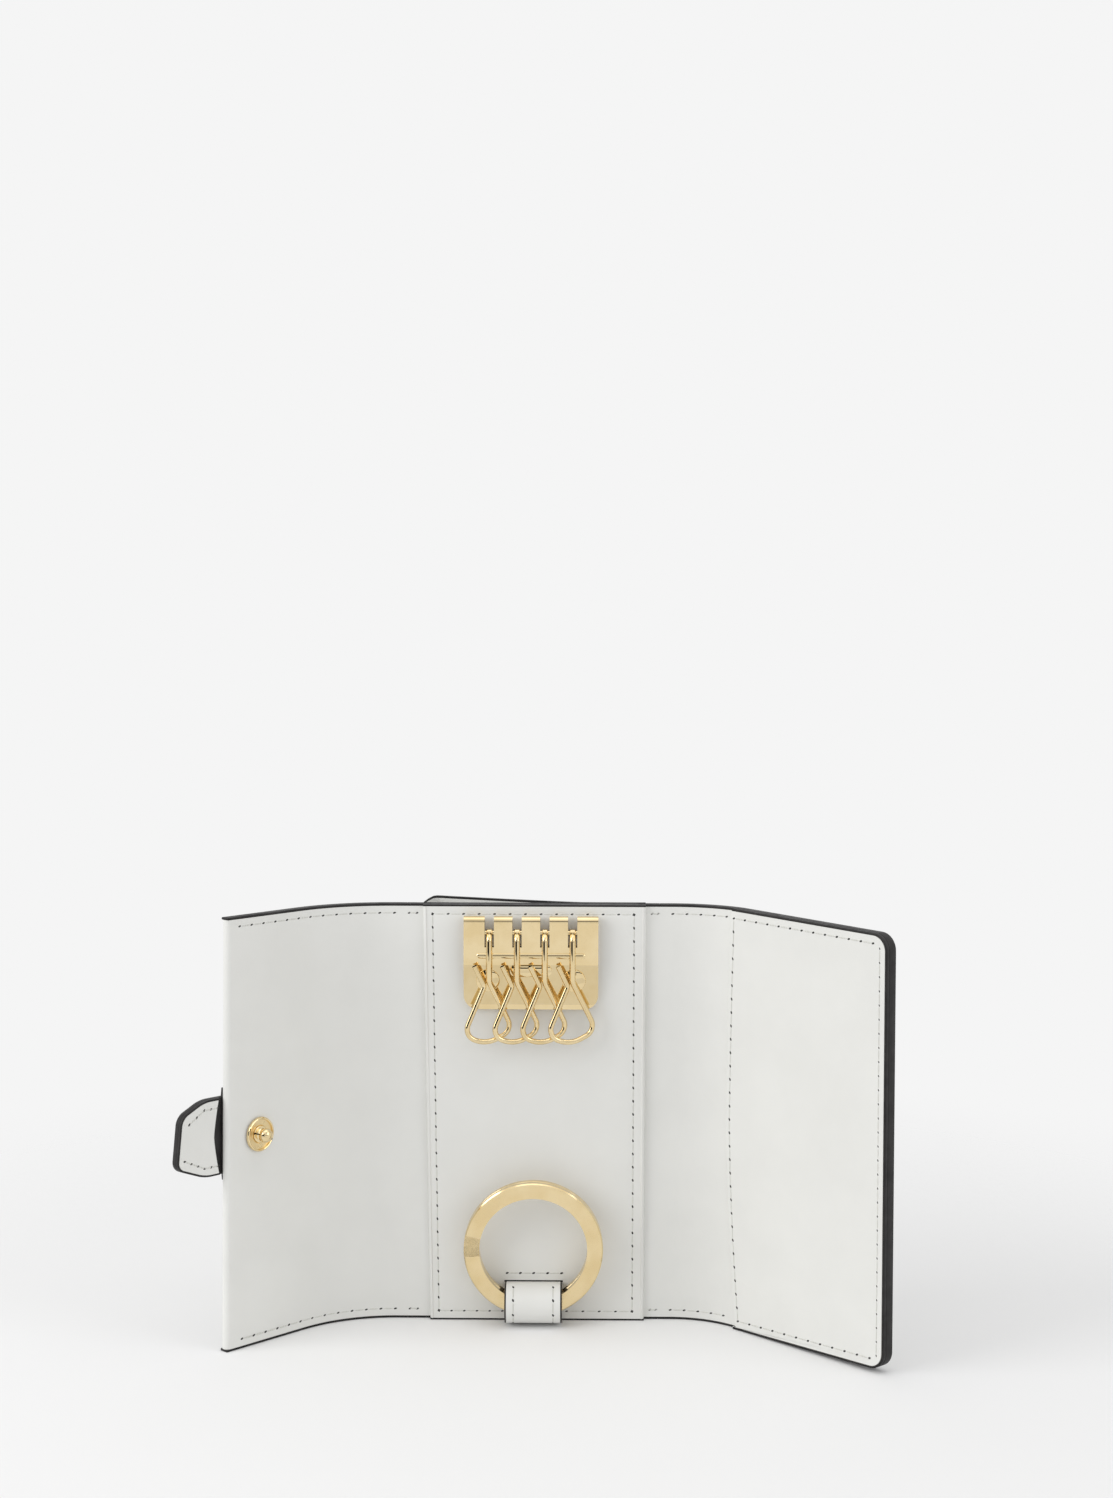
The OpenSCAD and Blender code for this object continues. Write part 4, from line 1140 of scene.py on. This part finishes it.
def flattenStem(bm):
    (top, foot), (fadeTop, fadeFoot) = hook["flat"], hook["fades"]
    for v in bm.verts:
        if abs(v.co.x) < hook["stemHalf"] and v.co.y < hook["stemFront"] and -foot < v.co.z < -top:
            share = min(1, (-top - v.co.z) / fadeTop, (v.co.z + foot) / fadeFoot)
            v.co.x *= 1 + (hook["flatten"] - 1) * share


def addBarrel(bm):
    # the eye that turns on the pin
    radius, length = hook["barrel"]
    turn = Matrix.Rotation(math.pi / 2, 4, "Y")
    barrel = bmesh.ops.create_cone(bm, cap_ends=True, segments=24, radius1=radius, radius2=radius,
                                   depth=length, matrix=turn)["verts"]
    rims = [e for e in bm.edges if all(v in barrel for v in e.verts) and run(e, 0) < touch / 10]
    roundEdges(bm, rims, hook["barrelSoft"])


twist = Matrix.Rotation(math.radians(hook["twist"]), 3, "Z")
out = Vector((0, -hook["out"], 0))
points = [Vector((0, -hook["rootOut"], -hook["drop"])), out + Vector((0, 0, -hook["drop"]))]
points += [out + twist @ Vector((x * mm, 0, z * mm)) for x, z in hook["corners"]]
freeEnd = lambda e: all(v.co.z > hook["end"][0] and v.co.y < hook["end"][1] for v in e.verts)
for i in range(hook["count"]):
    number = str(i + 1)
    bm = sweepWire("wire", roundedPath(points, hook["bends"]), hook["wire"])
    softenEdges(bm, freeEnd, hook["endSoft"])
    flattenStem(bm)
    addBarrel(bm)
    beside = (i - (hook["count"] - 1) / 2) * hook["pitch"]
    bmesh.ops.translate(bm, verts=bm.verts[:], vec=hook["pin"] + Vector((beside, 0, 0)))
    wire = placePiece("hookWire" + number, bm, polishedGilt, "hook_" + number)
    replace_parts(wire, "hook_" + number)

post = {
    "along": 13.7 * mm,
    "height": 51.5 * mm,
    "lean": 4,  # the leather around it gives a little
    "foot": [(0, 0), (4.2, 0), (4.22, 0.45), (4.1, 0.68), (3.92, 0.76), (3.74, 0.68), (3.66, 0.4),
             (3.6, 0.1), (2.3, 0.1), (2.2, 0.45), (2.05, 0.64), (1.8, 0.7), (1.5, 0.74), (1.3, 0.95),
             (1.22, 1.2)],  # its section in mm: radius, and height over the leather
    "ball": (1.72, 1.4, 2.35),  # half width, half height, and height of its middle
    "ballTurns": (-36, 90, 9),  # from, to and step, in degrees above its widest
    "recess": [(2.15, 0.02), (2.15, 0.16), (3.72, 0.2), (3.72, 0.02)],
    "steps": 40,
}


def spunForm(bm, profile, place, upward, closed=False):
    chain = [bm.verts.new((r * mm, 0, h * mm)) for r, h in profile]
    edges = [bm.edges.new(pair) for pair in zip(chain, chain[1:] + chain[:1] * closed)]
    bmesh.ops.spin(bm, geom=chain + edges, cent=(0, 0, 0), axis=(0, 0, 1), dvec=(0, 0, 0), angle=math.tau,
                   steps=post["steps"], use_merge=True)
    turn = Matrix.Translation(place) @ upward.to_track_quat("Z", "X").to_matrix().to_4x4()
    fresh = [v for v in bm.verts if v.is_valid and not v.tag]
    bmesh.ops.transform(bm, matrix=turn, verts=fresh)
    for v in fresh:
        v.tag = True


wide, tall, middle = post["ball"]
turns = [math.radians(a) for a in range(*post["ballTurns"])]
head = [(wide * math.cos(a), middle + tall * math.sin(a)) for a in turns] + [(0, middle + tall)]
along = left["flapStart"] + post["along"]
foot = onPanel(left, along, 0, post["height"])
inward = (onPanel(left, along, -left["thick"], post["height"]) - foot).normalized()
inward.rotate(Matrix.Rotation(math.radians(post["lean"]), 3, "Z"))
bm = bmesh.new()
spunForm(bm, post["foot"] + head, foot, inward)
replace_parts(placePiece("snapPost", bm, polishedGilt, "left_flap"), "snap_post")
bm = bmesh.new()
spunForm(bm, post["recess"], foot, inward, True)
placePiece("snapRecess", bm, punchedGilt, "left_flap")

# Rivet heads and the boss stand on the leaning lower half of the rail
lower = {"bend": Vector((-0.8 * mm, -4.4 * mm, 90.4 * mm)), "tilt": 9.0}
lean = math.radians(lower["tilt"])


def onLower(across, drop):
    # a place on the rail's face, so far below the bend
    return lower["bend"] + Vector((across, math.tan(lean) * drop, -drop))


rivet = {
    "drop": 3.9 * mm,
    "spread": 10.6 * mm,
    "half": 2.7,  # the dome's half width and height, in mm
    "high": 0.43,
    "base": 0.32,  # it rises from here
    "rim": [(2.84, 0.26), (2.92, 0.1), (2.92, -0.3), (0, -0.3)],
    "rows": 10,
}
domeRadius = (rivet["half"] ** 2 + rivet["high"] ** 2) / (2 * rivet["high"])
widest = math.asin(rivet["half"] / domeRadius)
turns = [widest * i / rivet["rows"] for i in range(rivet["rows"] + 1)]
crown = rivet["base"] + rivet["high"] - domeRadius
dome = [(domeRadius * math.sin(turn), crown + domeRadius * math.cos(turn)) for turn in turns]
heads = bmesh.new()
for side in (-1, 1):
    spunForm(heads, dome + rivet["rim"], onLower(side * rivet["spread"], rivet["drop"]),
             Vector((0, -math.cos(lean), -math.sin(lean))))
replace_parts(placePiece("rivetHeads", heads, polishedGilt), "rail_rivets")

# Raised forms pressed into the sheet: a bar with a rounded crown, radius, height and foot in mm
barRoot = 0.1  # how deep they reach into the sheet, in mm
pressed = {
    "railBoss": {"place": onLower(0, 1.35 * mm), "tilt": lower["tilt"], "radius": 3.9, "high": 0.31,
                 "foot": 0.47, "spread": 3.65 * mm},
    "railBead": {"place": lower["bend"] + Vector((0, 0, 2.3 * mm)), "tilt": 0, "radius": 1.1, "high": 0.21,
                 "foot": 0.42, "spread": 12.75 * mm},
}
for name, bar in pressed.items():
    bm = bmesh.new()
    bmesh.ops.create_uvsphere(bm, u_segments=32, v_segments=64, radius=bar["radius"] * mm)
    flat = (bar["radius"] - bar["high"]) * mm
    cutPlane(bm, (0, 0, flat), (0, 0, 1), clearBefore=True)
    grown = bmesh.ops.extrude_edge_only(bm, edges=[e for e in bm.edges if e.is_boundary])
    moveNew(bm, grown, (0, 0, -(bar["foot"] + barRoot) * mm))
    bmesh.ops.holes_fill(bm, edges=[e for e in bm.edges if e.is_boundary])
    for v in bm.verts:
        v.co.x += bar["spread"] * (0 if abs(v.co.x) < touch else math.copysign(1, v.co.x))
        v.co.z += bar["foot"] * mm - flat
    bm.transform(Matrix.Translation(bar["place"]) @ Matrix.Rotation(math.radians(90 + bar["tilt"]), 4, "X"))
    placePiece(name, bm, polishedGilt)

print("light")


def addArea(name, place, aim, size, power):
    light = bpy.data.lights.new(name, "AREA")
    light.shape = "RECTANGLE"
    light.size, light.size_y = size
    light.energy = power
    lamp = bpy.data.objects.new(name, light)
    scene.collection.objects.link(lamp)
    lamp.location = place
    lamp.rotation_euler = (Vector(aim) - Vector(place)).to_track_quat("-Z", "Y").to_euler()


lights = {  # place, aim, size and power
    "keyLight": ((-0.85, -0.42, 0.5), (0.03, -0.02, 0.05), (0.7, 0.7), 4.2),
    "fillLight": ((0.85, -0.45, 0.5), (0.0, -0.02, 0.05), (0.6, 0.6), 1.25),
    "topLight": ((0.05, -0.15, 0.9), (0.0, -0.02, 0.05), (0.9, 0.6), 1.05),
}
for name, values in lights.items():
    addArea(name, *values)


def addCard(name, place, aim, size, material):
    # a card that is seen only as a reflection
    bm = bmesh.new()
    bmesh.ops.create_grid(bm, x_segments=1, y_segments=1, size=0.5)
    turn = (Vector(aim) - Vector(place)).to_track_quat("-Z", "Y").to_matrix().to_4x4()
    bm.transform(Matrix.Translation(place) @ turn @ Matrix.Diagonal((*size, 1, 1)))
    card = makePiece(name, bm, material)
    card.visible_camera = card.visible_diffuse = card.visible_shadow = card.visible_transmission = False


def plainPaper(name, tone, roughness=1, gloss=0):
    material, tree, shader, place = newMaterial(name)
    setInputs(shader, {"Base Color": (tone, tone, tone, 1), "Roughness": roughness})
    setInputs(shader, {"Specular IOR Level": gloss})
    return material, tree, shader, place


cards = {  # place, aim and size
    "frontCard": ((-0.02, -0.75, 0.06), (0, 0, 0.06), (0.26, 0.12)),
    "tallCard": ((-0.02, -0.75, 0.345), (0, 0, 0.345), (0.26, 0.21)),
    "leftCard": ((-0.42, -0.66, 0.18), (0, 0, 0.18), (0.62, 0.34)),
    "rightCard": ((0.42, -0.66, 0.14), (0, 0, 0.14), (0.7, 0.07)),
    "highCard": ((0.35, -0.45, 0.5), (0, 0, 0.09), (0.3, 0.1)),
    "nearCard": ((0, -0.19, 0.002), (0, -0.19, 0.1), (0.3, 0.15)),
}
cardTones = {"dark": 0.01, "grey": 0.76}
darkCard = plainPaper("darkCard", cardTones["dark"])[0]
greyCard = plainPaper("greyCard", cardTones["grey"])[0]
for name, values in cards.items():
    addCard(name, *values, greyCard if name == "nearCard" else darkCard)

roomLook = {"glow": 0.73, "seen": 0.913}  # how strongly it lights, and how it is seen and reflected
world = bpy.data.worlds.new("room")
scene.world = world
world.use_nodes = True
tree = world.node_tree
room = tree.nodes["Background"]
seen = tree.nodes.new("ShaderNodeBackground")
for shown, strength in ((room, roomLook["glow"]), (seen, roomLook["seen"])):
    setInputs(shown, {"Color": (1, 1, 1, 1), "Strength": strength})
path = tree.nodes.new("ShaderNodeLightPath")
rays = addNode(tree, "Math", path.outputs["Is Camera Ray"], 0)
rays.operation = "MAXIMUM"
tree.links.new(path.outputs["Is Glossy Ray"], rays.inputs[1])
mixShaders(tree, rays.outputs[0], room, seen, "World Output")

floorLook = {
    "size": 3.0,
    "near": 0.12,  # it fades out between near and far
    "far": 0.30,
    "paper": (0.865, 0.95, 0.1),  # tone, roughness and gloss
}
bm = bmesh.new()
bmesh.ops.create_grid(bm, x_segments=1, y_segments=1, size=floorLook["size"] / 2)
floorMaterial, tree, shader, place = plainPaper("floorPaper", *floorLook["paper"])
distance = addNode(tree, "VectorMath", place, 0)
distance.operation = "LENGTH"
reach = {"From Min": floorLook["near"], "From Max": floorLook["far"]}
fade = addNode(tree, "MapRange", distance.outputs["Value"], "Value", **reach)
fade.interpolation_type = "SMOOTHSTEP"
clear = tree.nodes.new("ShaderNodeBsdfTransparent")
mixShaders(tree, fade.outputs["Result"], shader, clear, "Material Output")
makePiece("floorSheet", bm, floorMaterial)
